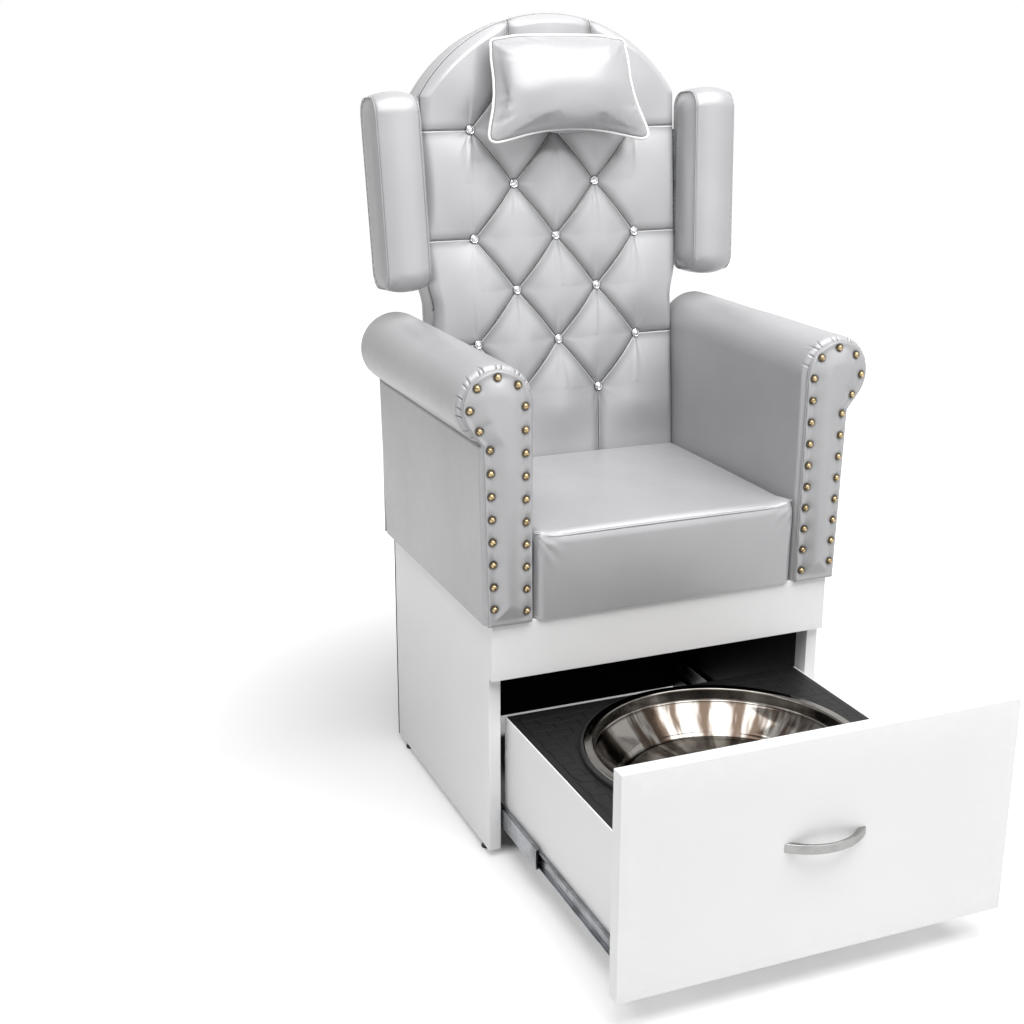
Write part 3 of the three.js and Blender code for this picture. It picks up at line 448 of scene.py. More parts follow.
def stitches(path: Array, normals: Array, pitch: float, closed: bool = False) -> Surface:
    """A row of short thread beads along a path, each lying on the surface below it.

    Args:
        path: The row's line.
        normals: Directions out of the surface along it.
        pitch: Length of a stitch with its gap.
        closed: Whether the line's end joins its start.

    Returns:
        The beads as one surface.
    """
    lengths = np.arange(0.5, int(run_lengths(path, closed)[-1] / pitch)) * pitch
    spots = at_lengths(path, lengths, closed)
    ahead = unit(at_lengths(path, lengths + 0.5, closed) - at_lengths(path, lengths - 0.5, closed))
    up = unit(at_lengths(normals + path, lengths, closed) - spots)
    rings = [
        np.insert(circle(wide, 6), 0, along * pitch * 0.36, axis=1)
        for along, wide in ((-1.0, 0.25), (-0.6, 0.55), (0.6, 0.55), (1.0, 0.25))
    ]
    return copies(tube(np.array(rings)), spots, np.stack([ahead, np.cross(up, ahead), up], axis=1))


# ---------------------------------------------------------------- node trees
@dataclass
class Graph:
    """A node tree, written one node at a time."""

    tree: bpy.types.NodeTree

    def add(self, kind: str, inputs: dict | None = None, **settings: object) -> bpy.types.Node:
        """Adds a node.

        Args:
            kind: Blender's name of the node.
            inputs: For each input socket, a value or the output socket that feeds it.
            **settings: The node's own settings.

        Returns:
            The node.
        """
        node = self.tree.nodes.new(kind)
        for name, value in settings.items():
            setattr(node, name, value)
        for name, value in (inputs or {}).items():
            if isinstance(value, bpy.types.NodeSocket):
                self.tree.links.new(value, node.inputs[name])
            else:
                node.inputs[name].default_value = value
        return node

    def group(self, tree: bpy.types.NodeTree, **inputs: object) -> object:
        """The outputs of a group node that runs a tree on the given inputs."""
        return self.add("ShaderNodeGroup", inputs, node_tree=tree).outputs

    def math(self, operation: str, *numbers: object) -> object:
        """The output of a Math node of up to three numbers."""
        return self.add("ShaderNodeMath", dict(enumerate(numbers)), operation=operation).outputs[0]

    def times(self, first: object, second: object) -> object:
        """Two numbers' product."""
        return self.math("MULTIPLY", first, second)

    def vector(self, operation: str, *vectors: object) -> object:
        """The output of a Vector Math node: a number from a length or a dot product, else a vector."""
        node = self.add("ShaderNodeVectorMath", dict(enumerate(vectors)), operation=operation)
        return node.outputs[1 if operation in ("LENGTH", "DOT_PRODUCT") else 0]

    def axes(self, place: object) -> object:
        """A vector's three numbers."""
        return self.add("ShaderNodeSeparateXYZ", {"Vector": place}).outputs

    def noise(self, place: object, scale: object, detail: float, roughness: float = 0.5) -> object:
        """A cloudy number, 0 to 1, round a middle of a half."""
        inputs = {"Vector": place, "Scale": scale, "Detail": detail, "Roughness": roughness}
        return self.add("ShaderNodeTexNoise", inputs).outputs["Fac"]

    def bump(self, height: object, strength: float, distance: float, **onto: object) -> object:
        """A normal bent by a height, on the input Normal where one is given."""
        inputs = {"Height": height, "Strength": strength, "Distance": distance, **onto}
        return self.add("ShaderNodeBump", inputs).outputs[0]

    def mask(self, name: str) -> object:
        """The number that a piece's points hold under a name."""
        return self.add("ShaderNodeAttribute", attribute_name=name).outputs["Fac"]

    def grade(self, value: object, low: float, high: float, start: object, end: object) -> object:
        """A value's smooth step from low to high, spread from start to end."""
        inputs = {"Value": value, "From Min": low, "From Max": high, "To Min": start, "To Max": end}
        return self.add("ShaderNodeMapRange", inputs, interpolation_type="SMOOTHSTEP").outputs[0]

    def blend(self, share: object, *colours: object) -> object:
        """A mix of two colours."""
        first, second = (c if isinstance(c, bpy.types.NodeSocket) else (*c, 1.0) for c in colours)
        return self.add("ShaderNodeMix", {0: share, 6: first, 7: second}, data_type="RGBA").outputs[2]

    def unlit_rays(self) -> object:
        """1 on rays that show the surroundings, to the camera or in metal and glass, and 0 on light."""
        path = self.add("ShaderNodeLightPath").outputs
        seen = self.math("MAXIMUM", path["Is Camera Ray"], path["Is Glossy Ray"])
        return self.math("MAXIMUM", seen, path["Is Transmission Ray"])


def shared(name: str, inputs: dict[str, float], effect: Callable[..., dict]) -> bpy.types.NodeTree:
    """A node group that several finishes share.

    Args:
        name: The group's name.
        inputs: Its number inputs with their usual values, which follow a vector.
        effect: Adds its nodes to a graph from its input sockets and gives its outputs by name.

    Returns:
        The group.
    """
    tree = bpy.data.node_groups.new(name, "ShaderNodeTree")
    tree.interface.new_socket("Vector", in_out="INPUT", socket_type="NodeSocketVector")
    for label, value in inputs.items():
        socket = tree.interface.new_socket(label, in_out="INPUT", socket_type="NodeSocketFloat")
        socket.default_value = value
    graph = Graph(tree)
    results = effect(graph, *graph.add("NodeGroupInput").outputs[:len(inputs) + 1])
    for label in results:
        tree.interface.new_socket(label, in_out="OUTPUT", socket_type="NodeSocketFloat")
    graph.add("NodeGroupOutput", results)
    return tree


def grain_cells(graph: Graph, place: object, cells: object) -> dict:
    """Pressed leather grain: rounded cells of the given size with a fine noise on them."""
    cell = graph.add("ShaderNodeTexVoronoi", {"Vector": place, "Scale": cells}, feature="SMOOTH_F1")
    fine = graph.noise(place, cells, 3.0)
    return {"Height": graph.math("MULTIPLY_ADD", fine, 0.35, cell.outputs["Distance"])}


def handling_marks(graph: Graph, place: object, size: object) -> dict:
    """Faint marks of handling: a slow cloud and a finer one."""
    return {"Cloud": graph.noise(place, size, 2.0), "Fine": graph.noise(place, graph.times(size, 9.0), 4.0)}


def brush_lines(graph: Graph, place: object, lines: object, stretch: object) -> dict:
    """Fine brush lines: noise drawn out along the piece's own Y by the given stretch."""
    spread = graph.add("ShaderNodeCombineXYZ", {"X": 1.0, "Y": stretch, "Z": 1.0}).outputs[0]
    return {"Line": graph.noise(graph.vector("MULTIPLY", place, spread), lines, 2.0)}


GRAIN = shared("Pressed grain", {"Cells": 800.0}, grain_cells)
HANDLING = shared("Handling marks", {"Size": 6.0}, handling_marks)
BRUSHING = shared("Brush lines", {"Lines": 900.0, "Stretch": 0.02}, brush_lines)


def blank_material(name: str) -> Graph:
    """A new material's empty graph."""
    material = bpy.data.materials.new(name)
    material.use_nodes = True
    material.node_tree.nodes.clear()
    return Graph(material.node_tree)


def grey(level: float) -> Colour:
    """A grey."""
    return level, level, level


def toned(colour: Colour, share: float) -> Colour:
    """A colour made darker or lighter."""
    return tuple(min(1.0, c * share) for c in colour)


@dataclass(frozen=True)
class Finish:
    """A finish: one Principled shader, fed over a piece's own coordinates."""

    name: str

    def inputs(self, graph: Graph, place: object) -> dict:
        """The shader's inputs by name, each a value or a socket of the graph."""
        raise NotImplementedError

    def material(self) -> bpy.types.Material:
        """Builds the material."""
        graph = blank_material(self.name)
        place = graph.add("ShaderNodeTexCoord").outputs["Object"]
        shader = graph.add("ShaderNodeBsdfPrincipled", self.inputs(graph, place))
        graph.add("ShaderNodeOutputMaterial", {"Surface": shader.outputs[0]})
        return bpy.data.materials[self.name]


@dataclass(frozen=True)
class Vinyl(Finish):
    """Coated upholstery cloth with a pearly lustre, pressed grain and painted shade in its seams and creases.

    A point attribute, 0 to 1, marks where that shade is painted. With pleats, it also paints the
    tufted back's pleats: shade round each one, a fine dark line at the bottom of a narrow groove, and a
    highlight, a glint, beside it, all painted.
    """

    colour: Colour = (0.415, 0.415, 0.425)
    # The near-black of the painted shade in seams and creases.
    painted_shade_colour: Colour = (0.035, 0.035, 0.04)
    metallic: float = 0.14
    roughness: float = 0.33
    cells: float = 900.0
    grain_depth: float = 0.16
    pleats: bool = False

    def inputs(self, graph: Graph, place: object) -> dict:
        """The shader's inputs."""
        marks = graph.group(HANDLING, Vector=place)
        grain = graph.group(GRAIN, Vector=place, Cells=self.cells)
        cloud = graph.grade(marks["Cloud"], 0.3, 0.7, 0.0, 1.0)
        colour = graph.blend(cloud, toned(self.colour, 0.95), toned(self.colour, 1.03))
        # Painted shade: the marked seams and creases are darkened almost to black.
        fold = graph.grade(graph.mask("fold"), 0.0, 1.0, 0.0, 0.95)
        colour = graph.blend(fold, colour, self.painted_shade_colour)
        normal = graph.bump(grain["Height"], self.grain_depth, 0.0003)
        if self.pleats:
            away = PleatLines().distance(graph, place)
            # Painted shade: the vinyl darkens towards each pleat line.
            painted_pleat_shade = graph.grade(away, 0.0, 20.0, 0.62, 0.0)
            colour = graph.blend(painted_pleat_shade, colour, toned(self.colour, 0.3))
            # Painted highlight: a pale glint a millimetre or two beside each pleat.
            glint = graph.times(graph.grade(away, 0.9, 1.4, 0.0, 0.7), graph.grade(away, 1.8, 3.2, 1.0, 0.0))
            colour = graph.blend(glint, colour, grey(0.95))
            # Painted shade: a fine dark line along the bottom of each pleat.
            colour = graph.blend(graph.grade(away, 0.4, 1.0, 0.95, 0.0), colour, self.painted_shade_colour)
            normal = graph.bump(graph.grade(away, 0.3, 3.4, -1.0, 0.0), 1.0, 0.0026, Normal=normal)
        rough = graph.grade(marks["Fine"], 0.2, 0.8, self.roughness - 0.03, self.roughness + 0.05)
        return {"Base Color": colour, "Roughness": rough, "Normal": normal, "Metallic": self.metallic,
                "Sheen Weight": 0.05, "Sheen Roughness": 0.4}


@dataclass(frozen=True)
class Laminate(Finish):
    """Melamine-faced board: a faint cloud, a fine orange-peel and slightly worn edges.

    Given a half width and a depth, the faces nearer the middle than that half width are black from that depth
    on: painted shade inside the cabinet.
    """

    colour: Colour
    edge_colour: Colour
    roughness: float = 0.34
    peel: float = 0.04
    coat: float = 0.12
    cloud: float = 0.985
    specular: float = 0.5
    painted_shade_inside: tuple[float, float] | None = None

    def inputs(self, graph: Graph, place: object) -> dict:
        """The shader's inputs."""
        marks = graph.group(HANDLING, Vector=place)
        cloud = graph.grade(marks["Cloud"], 0.3, 0.7, 0.0, 1.0)
        colour = graph.blend(cloud, toned(self.colour, self.cloud), self.colour)
        worn = graph.times(graph.mask("edge"), graph.grade(marks["Fine"], 0.45, 0.65, 0.15, 0.7))
        colour = graph.blend(worn, colour, self.edge_colour)
        # Painted shade: the inner faces behind the front strip are black, where only shade falls inside the
        # cabinet.
        if self.painted_shade_inside:
            half, depth = (length * METRE for length in self.painted_shade_inside)
            x, y, _ = graph.axes(place)
            near = graph.math("LESS_THAN", graph.math("ABSOLUTE", x), half)
            painted_shade = graph.times(near, graph.math("GREATER_THAN", y, depth))
            colour = graph.blend(painted_shade, colour, grey(0.004))
        rough = graph.grade(marks["Fine"], 0.2, 0.8, self.roughness - 0.04, self.roughness + 0.05)
        normal = graph.bump(graph.noise(place, 420.0, 2.0), self.peel, 0.0005)
        return {"Base Color": colour, "Roughness": rough, "Normal": normal, "Coat Weight": self.coat,
                "Coat Roughness": 0.15, "Specular IOR Level": self.specular}


@dataclass(frozen=True)
class Metal(Finish):
    """A metal with brush lines, slow stains and a darker tone where marked: patina on the nail heads, painted
    shade in the bowl's creases.
    """

    colour: Colour
    stain: Colour
    roughness: float
    lines: float = 900.0
    stretch: float = 0.02
    line_depth: float = 0.03
    stain_size: float = 18.0

    def stains_and_reflections(self, graph: Graph, place: object) -> object:
        """How far the stain covers the plain metal."""
        marks = graph.group(HANDLING, Vector=place, Size=self.stain_size)
        return graph.grade(marks["Cloud"], 0.35, 0.75, 0.0, 0.8)

    def inputs(self, graph: Graph, place: object) -> dict:
        """The shader's inputs."""
        line = graph.group(BRUSHING, Vector=place, Lines=self.lines, Stretch=self.stretch)["Line"]
        colour = graph.blend(self.stains_and_reflections(graph, place), self.colour, self.stain)
        # Darker where marked: patina on the nail heads' rims, painted shade in the bowl's bead, lip and floor
        # corner.
        colour = graph.blend(graph.times(graph.mask("fold"), 0.9), colour, (0.02, 0.015, 0.01))
        rough = graph.grade(line, 0.3, 0.7, self.roughness * 0.75, self.roughness * 1.3)
        return {"Base Color": colour, "Roughness": rough, "Metallic": 1.0,
                "Normal": graph.bump(line, self.line_depth, 0.0003)}


@dataclass(frozen=True)
class SpunSteel(Metal):
    """Polished steel of a turned bowl with painted reflections: dark streaks that run out from its axis, up
    to its pale rim.
    """

    axis: tuple[float, float] = (0.0, 0.0)
    wall: float = 0.2
    streaks: float = 5.5

    def stains_and_reflections(self, graph: Graph, place: object) -> object:
        """How far the painted reflection streaks cover the metal: a noise on the direction from the axis,
        drawn up the wall.
        """
        off = graph.vector("SUBTRACT", place, (*self.axis, 0.0))
        flat = graph.vector("MULTIPLY", off, (1.0, 1.0, 0.0))
        far = graph.vector("LENGTH", flat)
        rise = graph.vector("MULTIPLY", place, (0.0, 0.0, 1.6))
        spun = graph.vector("ADD", graph.vector("NORMALIZE", flat), rise)
        share = graph.grade(graph.noise(spun, self.streaks, 3.0, 0.6), 0.40, 0.60, 0.0, 1.0)
        share = graph.times(share, graph.grade(far, 0.02, 0.12, 0.25, 1.0))
        return graph.times(share, graph.grade(far, self.wall - 0.003, self.wall + 0.002, 1.0, 0.12))


@dataclass(frozen=True)
class Matte(Finish):
    """Rubber, moulded plastic, thread or tape: a dull colour with a fine broken surface."""

    colour: Colour
    light: Colour
    roughness: float = 0.7
    size: float = 600.0
    depth: float = 0.3
    sheen: float = 0.0

    def inputs(self, graph: Graph, place: object) -> dict:
        """The shader's inputs."""
        noise = graph.noise(place, self.size, 4.0)
        colour = graph.blend(graph.grade(noise, 0.35, 0.7, 0.0, 1.0), self.colour, self.light)
        rough = graph.grade(noise, 0.3, 0.7, self.roughness - 0.08, self.roughness + 0.08)
        return {"Base Color": colour, "Roughness": rough, "Sheen Weight": self.sheen,
                "Normal": graph.bump(noise, self.depth, 0.0004)}


@dataclass(frozen=True)
class DeckVinyl(Finish):
    """Black embossed vinyl on the drawer's deck: soft paving with a plain border inside a thin line."""

    low: Array
    high: Array
    border: float = 13.0
    stone: float = 44.0
    course: float = 24.0

    def inputs(self, graph: Graph, place: object) -> dict:
        """The shader's inputs."""
        gaps = []
        for axis, low, high in zip(graph.axes(place), self.low[:2] * METRE, self.high[:2] * METRE):
            gaps.append(graph.math("SUBTRACT", axis, float(low)))
            gaps.append(graph.math("SUBTRACT", float(high), axis))
        gap = graph.math("MINIMUM", graph.math("MINIMUM", *gaps[:2]), graph.math("MINIMUM", *gaps[2:]))
        off = graph.math("ABSOLUTE", graph.math("SUBTRACT", gap, self.border * METRE))
        line = graph.grade(off, 0.0004, 0.0012, 1.0, 0.0)
        inside = graph.grade(gap, self.border * METRE, (self.border + 2) * METRE, 0.0, 1.0)
        warp = graph.add("ShaderNodeTexNoise", {"Vector": place, "Scale": 14.0, "Detail": 1.0})
        push = graph.vector("MULTIPLY", warp.outputs["Color"], (0.012, 0.012, 0.012))
        paving = graph.add("ShaderNodeTexBrick", {
            "Vector": graph.vector("ADD", place, push), "Scale": 1.0, "Mortar Size": 0.0014,
            "Mortar Smooth": 0.9, "Brick Width": self.stone * METRE, "Row Height": self.course * METRE,
        }, offset=0.5)
        fine = graph.group(GRAIN, Vector=place, Cells=700.0)["Height"]
        sunk = graph.math("ADD", graph.times(paving.outputs["Fac"], inside), line)
        height = graph.math("MULTIPLY_ADD", fine, 0.12, graph.times(sunk, -1.0))
        # Painted shade: the sunk joints of the paving and the border line are darker.
        return {"Base Color": graph.blend(sunk, (0.011, 0.011, 0.0115), grey(0.003)),
                "Roughness": graph.grade(fine, 0.2, 0.9, 0.36, 0.52),
                "Normal": graph.bump(height, 0.9, 0.0016), "Specular IOR Level": 0.22}


@dataclass(frozen=True)
class Ply(Finish):
    """Plywood: long grain drawn out along X."""

    colour: Colour = (0.52, 0.36, 0.20)
    dark: Colour = (0.30, 0.19, 0.10)

    def inputs(self, graph: Graph, place: object) -> dict:
        """The shader's inputs."""
        grain = graph.noise(graph.vector("MULTIPLY", place, (1.0, 14.0, 14.0)), 9.0, 5.0)
        return {"Base Color": graph.blend(graph.grade(grain, 0.35, 0.7, 0.0, 1.0), self.colour, self.dark),
                "Roughness": graph.grade(grain, 0.3, 0.7, 0.6, 0.8),
                "Normal": graph.bump(grain, 0.25, 0.0006)}


@dataclass(frozen=True)
class CutCrystal(Finish):
    """A foil-backed cut crystal: bright facets under a clear coat, with faint clouding."""

    def inputs(self, graph: Graph, place: object) -> dict:
        """The shader's inputs."""
        cloud = graph.noise(place, 260.0, 1.0)
        share = graph.grade(cloud, 0.35, 0.65, 0.0, 1.0)
        return {"Base Color": graph.blend(share, (0.95, 0.95, 0.97), (0.60, 0.61, 0.64)),
                "Roughness": graph.grade(cloud, 0.3, 0.7, 0.02, 0.09), "Metallic": 0.75,
                "Coat Weight": 1.0, "Coat Roughness": 0.02}


# ---------------------------------------------------------------- pieces
@dataclass(frozen=True)
class Slope:
    """The backrest's frame: X across, V up the slope and N forward of the button plane."""

    lean: float
    y: float
    z: float

    @property
    def up(self) -> Array:
        """Direction of V."""
        return np.array([0.0, math.sin(self.lean), math.cos(self.lean)])

    @property
    def forward(self) -> Array:
        """Direction of N."""
        return np.array([0.0, -math.cos(self.lean), math.sin(self.lean)])

    def place(self, x: Array, v: Array, n: Array) -> Array:
        """Points in the chair's frame from places in the slope's."""
        x, v, n = np.broadcast_arrays(x, v, n)
        across = np.stack([x, np.full(x.shape, self.y), np.full(x.shape, self.z)], axis=-1)
        return across + v[..., None] * self.up + n[..., None] * self.forward

    def rise(self, z: float) -> float:
        """V at a height, on the button plane."""
        return (z - self.z) / math.cos(self.lean)

    def outward(self, flat: Array) -> Array:
        """Directions in the chair's frame from directions in X and V."""
        return flat[:, :1] * np.array([1.0, 0, 0]) + flat[:, 1:] * self.up


CABINET_FRONT = node_box("side_panel_left")[0][1]
BODY_BOTTOM = node_box("seat_board")[0][2]
PULL = next(j for j in frame["joints"] if j["name"] == "pillow_pull_off")["axis"]
SLOPE = Slope(lean=math.atan2(PULL[2], -PULL[1]), y=CABINET_FRONT + 455.0, z=774.5)


@dataclass(frozen=True)
class TuftLattice:
    """Buttons on a diamond lattice, with a pleat along every side of a diamond."""

    column: float = 82.9
    row: float = 98.9
    rows: int = 7
    first: float = -56.2
    reach: int = 2

    def buttons(self) -> Array:
        """X and V of every button, from the lowest row up and left to right."""
        return np.array([
            (k * self.column, self.first + r * self.row)
            for r in range(self.rows) for k in ((-2, 0, 2) if r % 2 else (-1, 1))
        ])

    def distances(self, x: Array, v: Array) -> tuple[Array, Array]:
        """How far a place is from the two families of pleats, 0 on a pleat and 1 halfway between."""
        column = np.clip(x / self.column, -self.reach, self.reach)
        row = np.clip((v - self.first) / self.row, 0, self.rows - 1)
        return tuple(np.abs(np.sin(QUARTER * (column + way * row + 1))) for way in (1, -1))


LATTICE = TuftLattice()


class PleatLines:
    """The pleat lines as shader nodes, on the same lattice as the mesh."""

    def distance(self, graph: Graph, place: object) -> object:
        """Millimetres from the nearest pleat, from the piece's Object coordinates.

        Each family of pleats is where a sine of column and row is zero. Dividing its size by its slope
        gives a distance, and past the outermost buttons only one of the two still changes.

        Args:
            graph: The material's graph.
            place: The Object coordinates' socket.

        Returns:
            The distance's socket.
        """
        start = float(SLOPE.up @ np.array([0.0, SLOPE.y, SLOPE.z])) * METRE
        along = graph.vector("DOT_PRODUCT", place, tuple(SLOPE.up))
        v = graph.math("SUBTRACT", along, start + LATTICE.first * METRE)
        row = graph.math("DIVIDE", v, LATTICE.row * METRE)
        row, row_slope = self.held(graph, row, 0.0, float(LATTICE.rows - 1))
        column = graph.math("DIVIDE", graph.axes(place)[0], LATTICE.column * METRE)
        column, column_slope = self.held(graph, column, -float(LATTICE.reach), float(LATTICE.reach))
        steep = graph.math("ADD", graph.times(row_slope, LATTICE.row**-2),
                           graph.times(column_slope, LATTICE.column**-2))
        slope = graph.math("MULTIPLY_ADD", graph.math("SQRT", steep), QUARTER, 1e-5)
        waves = []
        for operation in ("ADD", "SUBTRACT"):
            phase = graph.math("ADD", graph.math(operation, column, row), 1.0)
            waves.append(graph.math("ABSOLUTE", graph.math("SINE", graph.times(phase, QUARTER))))
        return graph.math("DIVIDE", graph.math("MINIMUM", *waves), slope)

    @staticmethod
    def held(graph: Graph, value: object, low: float, high: float) -> tuple[object, object]:
        """A value held between two limits, and 1 where it is free to change."""
        inside = graph.times(graph.math("GREATER_THAN", value, low), graph.math("LESS_THAN", value, high))
        return graph.math("MAXIMUM", graph.math("MINIMUM", value, high), low), inside


@dataclass(frozen=True)
class Skin:
    """A material with the record's finish that it stands for."""

    material: bpy.types.Material
    slot: Slot


def skin(slot: Slot, finish: Finish) -> Skin:
    """A palette's field: a finish's material, built with the palette, and its slot."""
    return field(default_factory=lambda: Skin(finish.material(), slot))


def publish(
    name: str, surface: Surface, skin: Skin, node: str | None = None, body: Body = Body.CHAIR,
    sharp: float = SHARP_ANGLE, slot: Slot | None = None,
) -> None:
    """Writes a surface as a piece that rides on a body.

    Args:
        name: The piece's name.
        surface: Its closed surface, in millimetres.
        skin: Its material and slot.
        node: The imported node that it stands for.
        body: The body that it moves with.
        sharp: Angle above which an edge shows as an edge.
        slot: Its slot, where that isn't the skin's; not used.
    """
    mesh = bpy.data.meshes.new(name)
    mesh.from_pydata((surface.points * METRE).tolist(), [], [*surface.quads.tolist(), *surface.polygons])
    for label, values in surface.masks.items():
        layer = mesh.attributes.new(label, "FLOAT", "POINT")
        layer.data.foreach_set("value", np.asarray(values, np.float32))
    mesh.polygons.foreach_set("use_smooth", np.ones(len(mesh.polygons), bool))
    mesh.set_sharp_from_angle(angle=sharp)
    mesh.materials.append(skin.material)
    piece = bpy.data.objects.new(name, mesh)
    bpy.context.scene.collection.objects.link(piece)
    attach(piece, body.value)
    if node:
        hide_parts(node)
    log.info("%s: %d points, %d faces, on %s", name, len(mesh.vertices), len(mesh.polygons), body.value)


def dress(skin: Skin, *nodes: str) -> None:
    """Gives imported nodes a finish."""
    for node in nodes:
        slots = frame["nodes"][node].data.materials
        slots.clear()
        slots.append(skin.material)


def mesh_arrays(mesh: bpy.types.Mesh) -> tuple[Array, Array]:
    """A mesh's points, in millimetres, and the points at its faces' corners, face by face."""
    points, corners = np.empty(len(mesh.vertices) * 3), np.empty(len(mesh.loops), np.int32)
    mesh.vertices.foreach_get("co", points)
    mesh.loops.foreach_get("vertex_index", corners)
    return points.reshape(-1, 3) / METRE, corners


def nearest(points: Array, others: Array) -> Array:
    """How far each point is from the nearest of every second one of the others."""
    return np.linalg.norm(points[:, None] - others[None, ::2], axis=2).min(axis=1)


def filled(surface: Surface, held: Array, voxel: float, pressure: float, reach: float) -> Surface:
    """A closed cover blown up by Blender's cloth simulation, then smoothed by one subdivision.

    Args:
        surface: The cover before it is filled, a little small.
        held: Points of its seams, which stay in place.
        voxel: Size of the faces of the simulated mesh.
        pressure: The filling's pressure.
        reach: How far a point may move.

    Returns:
        The filled cover, all in four-cornered faces.
    """
    mesh = bpy.data.meshes.new("cover study")
    mesh.from_pydata((surface.points * METRE).tolist(), [], [*surface.quads.tolist(), *surface.polygons])
    study, scene = bpy.data.objects.new("cover study", mesh), bpy.context.scene
    scene.collection.objects.link(study)

    def shape_now() -> bpy.types.Mesh:
        """The study's mesh with its modifiers applied, as it stands."""
        shown = study.evaluated_get(bpy.context.evaluated_depsgraph_get())
        return bpy.data.meshes.new_from_object(shown)

    remesh = study.modifiers.new("remesh", "REMESH")
    remesh.mode, remesh.voxel_size = "VOXEL", voxel * METRE
    fresh = shape_now()
    study.modifiers.clear()
    study.data = fresh
    start, _ = mesh_arrays(fresh)
    cloth = study.modifiers.new("cloth", "CLOTH")
    cloth.settings.use_pressure = True
    cloth.settings.uniform_pressure_force = pressure
    cloth.settings.effector_weights.gravity = 0.0
    cloth.point_cache.frame_start, cloth.point_cache.frame_end = 1, 20
    for step in range(1, 21):
        scene.frame_set(step)
    move = mesh_arrays(shape_now())[0] - start
    study.modifiers.clear()
    scene.frame_set(1)
    size = np.linalg.norm(move, axis=1, keepdims=True)
    log.info("cloth: %d points, moved %.1f mm at most, %.1f on average", len(start), size.max(), size.mean())
    allowed = reach * smooth(1.0, 26.0, nearest(start, held)[:, None])
    moved = start + move * np.minimum(1.0, allowed / np.maximum(size, 1e-6))
    fresh.vertices.foreach_set("co", (moved * METRE).ravel())
    fresh.update()
    study.modifiers.new("subdivision", "SUBSURF").levels = 1
    points, corners = mesh_arrays(shape_now())
    bpy.data.objects.remove(study)
    return Surface(points, corners.reshape(-1, 4)).facing_out()


@dataclass
class Palette:
    """Every finish of the chair, built once."""

    vinyl: Skin = skin(Slot.VINYL, Vinyl("silver vinyl"))
    # A lighter copy of the silver vinyl for the tufted back: painted light, which also makes up for the
    # painted shade round its pleats.
    tufted: Skin = skin(Slot.VINYL, Vinyl("tufted silver vinyl", (0.465, 0.465, 0.475), pleats=True))
    pillow: Skin = skin(Slot.VINYL, Vinyl("pillow vinyl", (0.42, 0.42, 0.43)))
    piping: Skin = skin(Slot.VINYL, Vinyl("white piping", grey(0.86), metallic=0.0, roughness=0.4))
    thread: Skin = skin(
        Slot.VINYL, Matte("thread", (0.80, 0.80, 0.81), (0.92, 0.92, 0.93), 0.6, 2500.0, 0.5, 0.3))
    laminate: Skin = skin(Slot.LAMINATE, Laminate("white laminate", grey(0.86), grey(0.90)))
    # The cabinet's sides, with painted shade: black on their inner faces behind the front strip.
    cabinet_side: Skin = skin(Slot.LAMINATE, Laminate(
        "white laminate, lined black", grey(0.86), grey(0.90), painted_shade_inside=(303.6, CABINET_FRONT + 34.0)))
    black_board: Skin = skin(
        Slot.BLACK_BOARD, Laminate("black board", grey(0.002), grey(0.006), 0.85, 0.15, 0.0, 0.8, 0.06))
    rubber: Skin = skin(Slot.RUBBER, Matte("black rubber", grey(0.006), grey(0.014), 0.5, 500.0, 0.2))
    plastic: Skin = skin(Slot.RUBBER, Matte("black plastic", grey(0.005), grey(0.012), 0.42, 900.0, 0.12))
    tape: Skin = skin(
        Slot.TAPE, Matte("hook and loop tape", (0.22, 0.22, 0.23), (0.55, 0.55, 0.56), 0.9, 1500.0, 1.0, 0.6))
    # Its second colour is the dark of the painted reflection streaks.
    stainless: Skin = skin(Slot.STAINLESS, SpunSteel(
        "stainless steel", (0.30, 0.285, 0.265), (0.055, 0.04, 0.03), 0.12, 260.0, 1.0, 0.012,
        axis=tuple(float(v) * METRE for v in sum(node_box("foot_bowl"))[:2] / 2), wall=0.217))
    zinc: Skin = skin(Slot.ZINC, Metal("zinc-plated steel", (0.36, 0.37, 0.39), (0.12, 0.125, 0.13), 0.26))
    nickel: Skin = skin(Slot.NICKEL, Metal("satin nickel", (0.34, 0.34, 0.335), (0.22, 0.22, 0.215), 0.30))
    brass: Skin = skin(Slot.BRASS, Metal(
        "antique brass", (0.47, 0.365, 0.21), (0.16, 0.11, 0.055), 0.20, 1500.0, 1.0, 0.05, 160.0))
    silver: Skin = skin(Slot.NICKEL, Metal(
        "button silver", (0.80, 0.80, 0.81), (0.40, 0.40, 0.41), 0.14, 1500.0, 1.0, 0.03, 200.0))
    plywood: Skin = skin(Slot.PLYWOOD, Ply("plywood"))
    crystal: Skin = skin(Slot.CRYSTAL, CutCrystal("cut crystal"))
    deck: Skin = skin(Slot.DECK, DeckVinyl("embossed deck vinyl", *node_box("drawer_deck")))


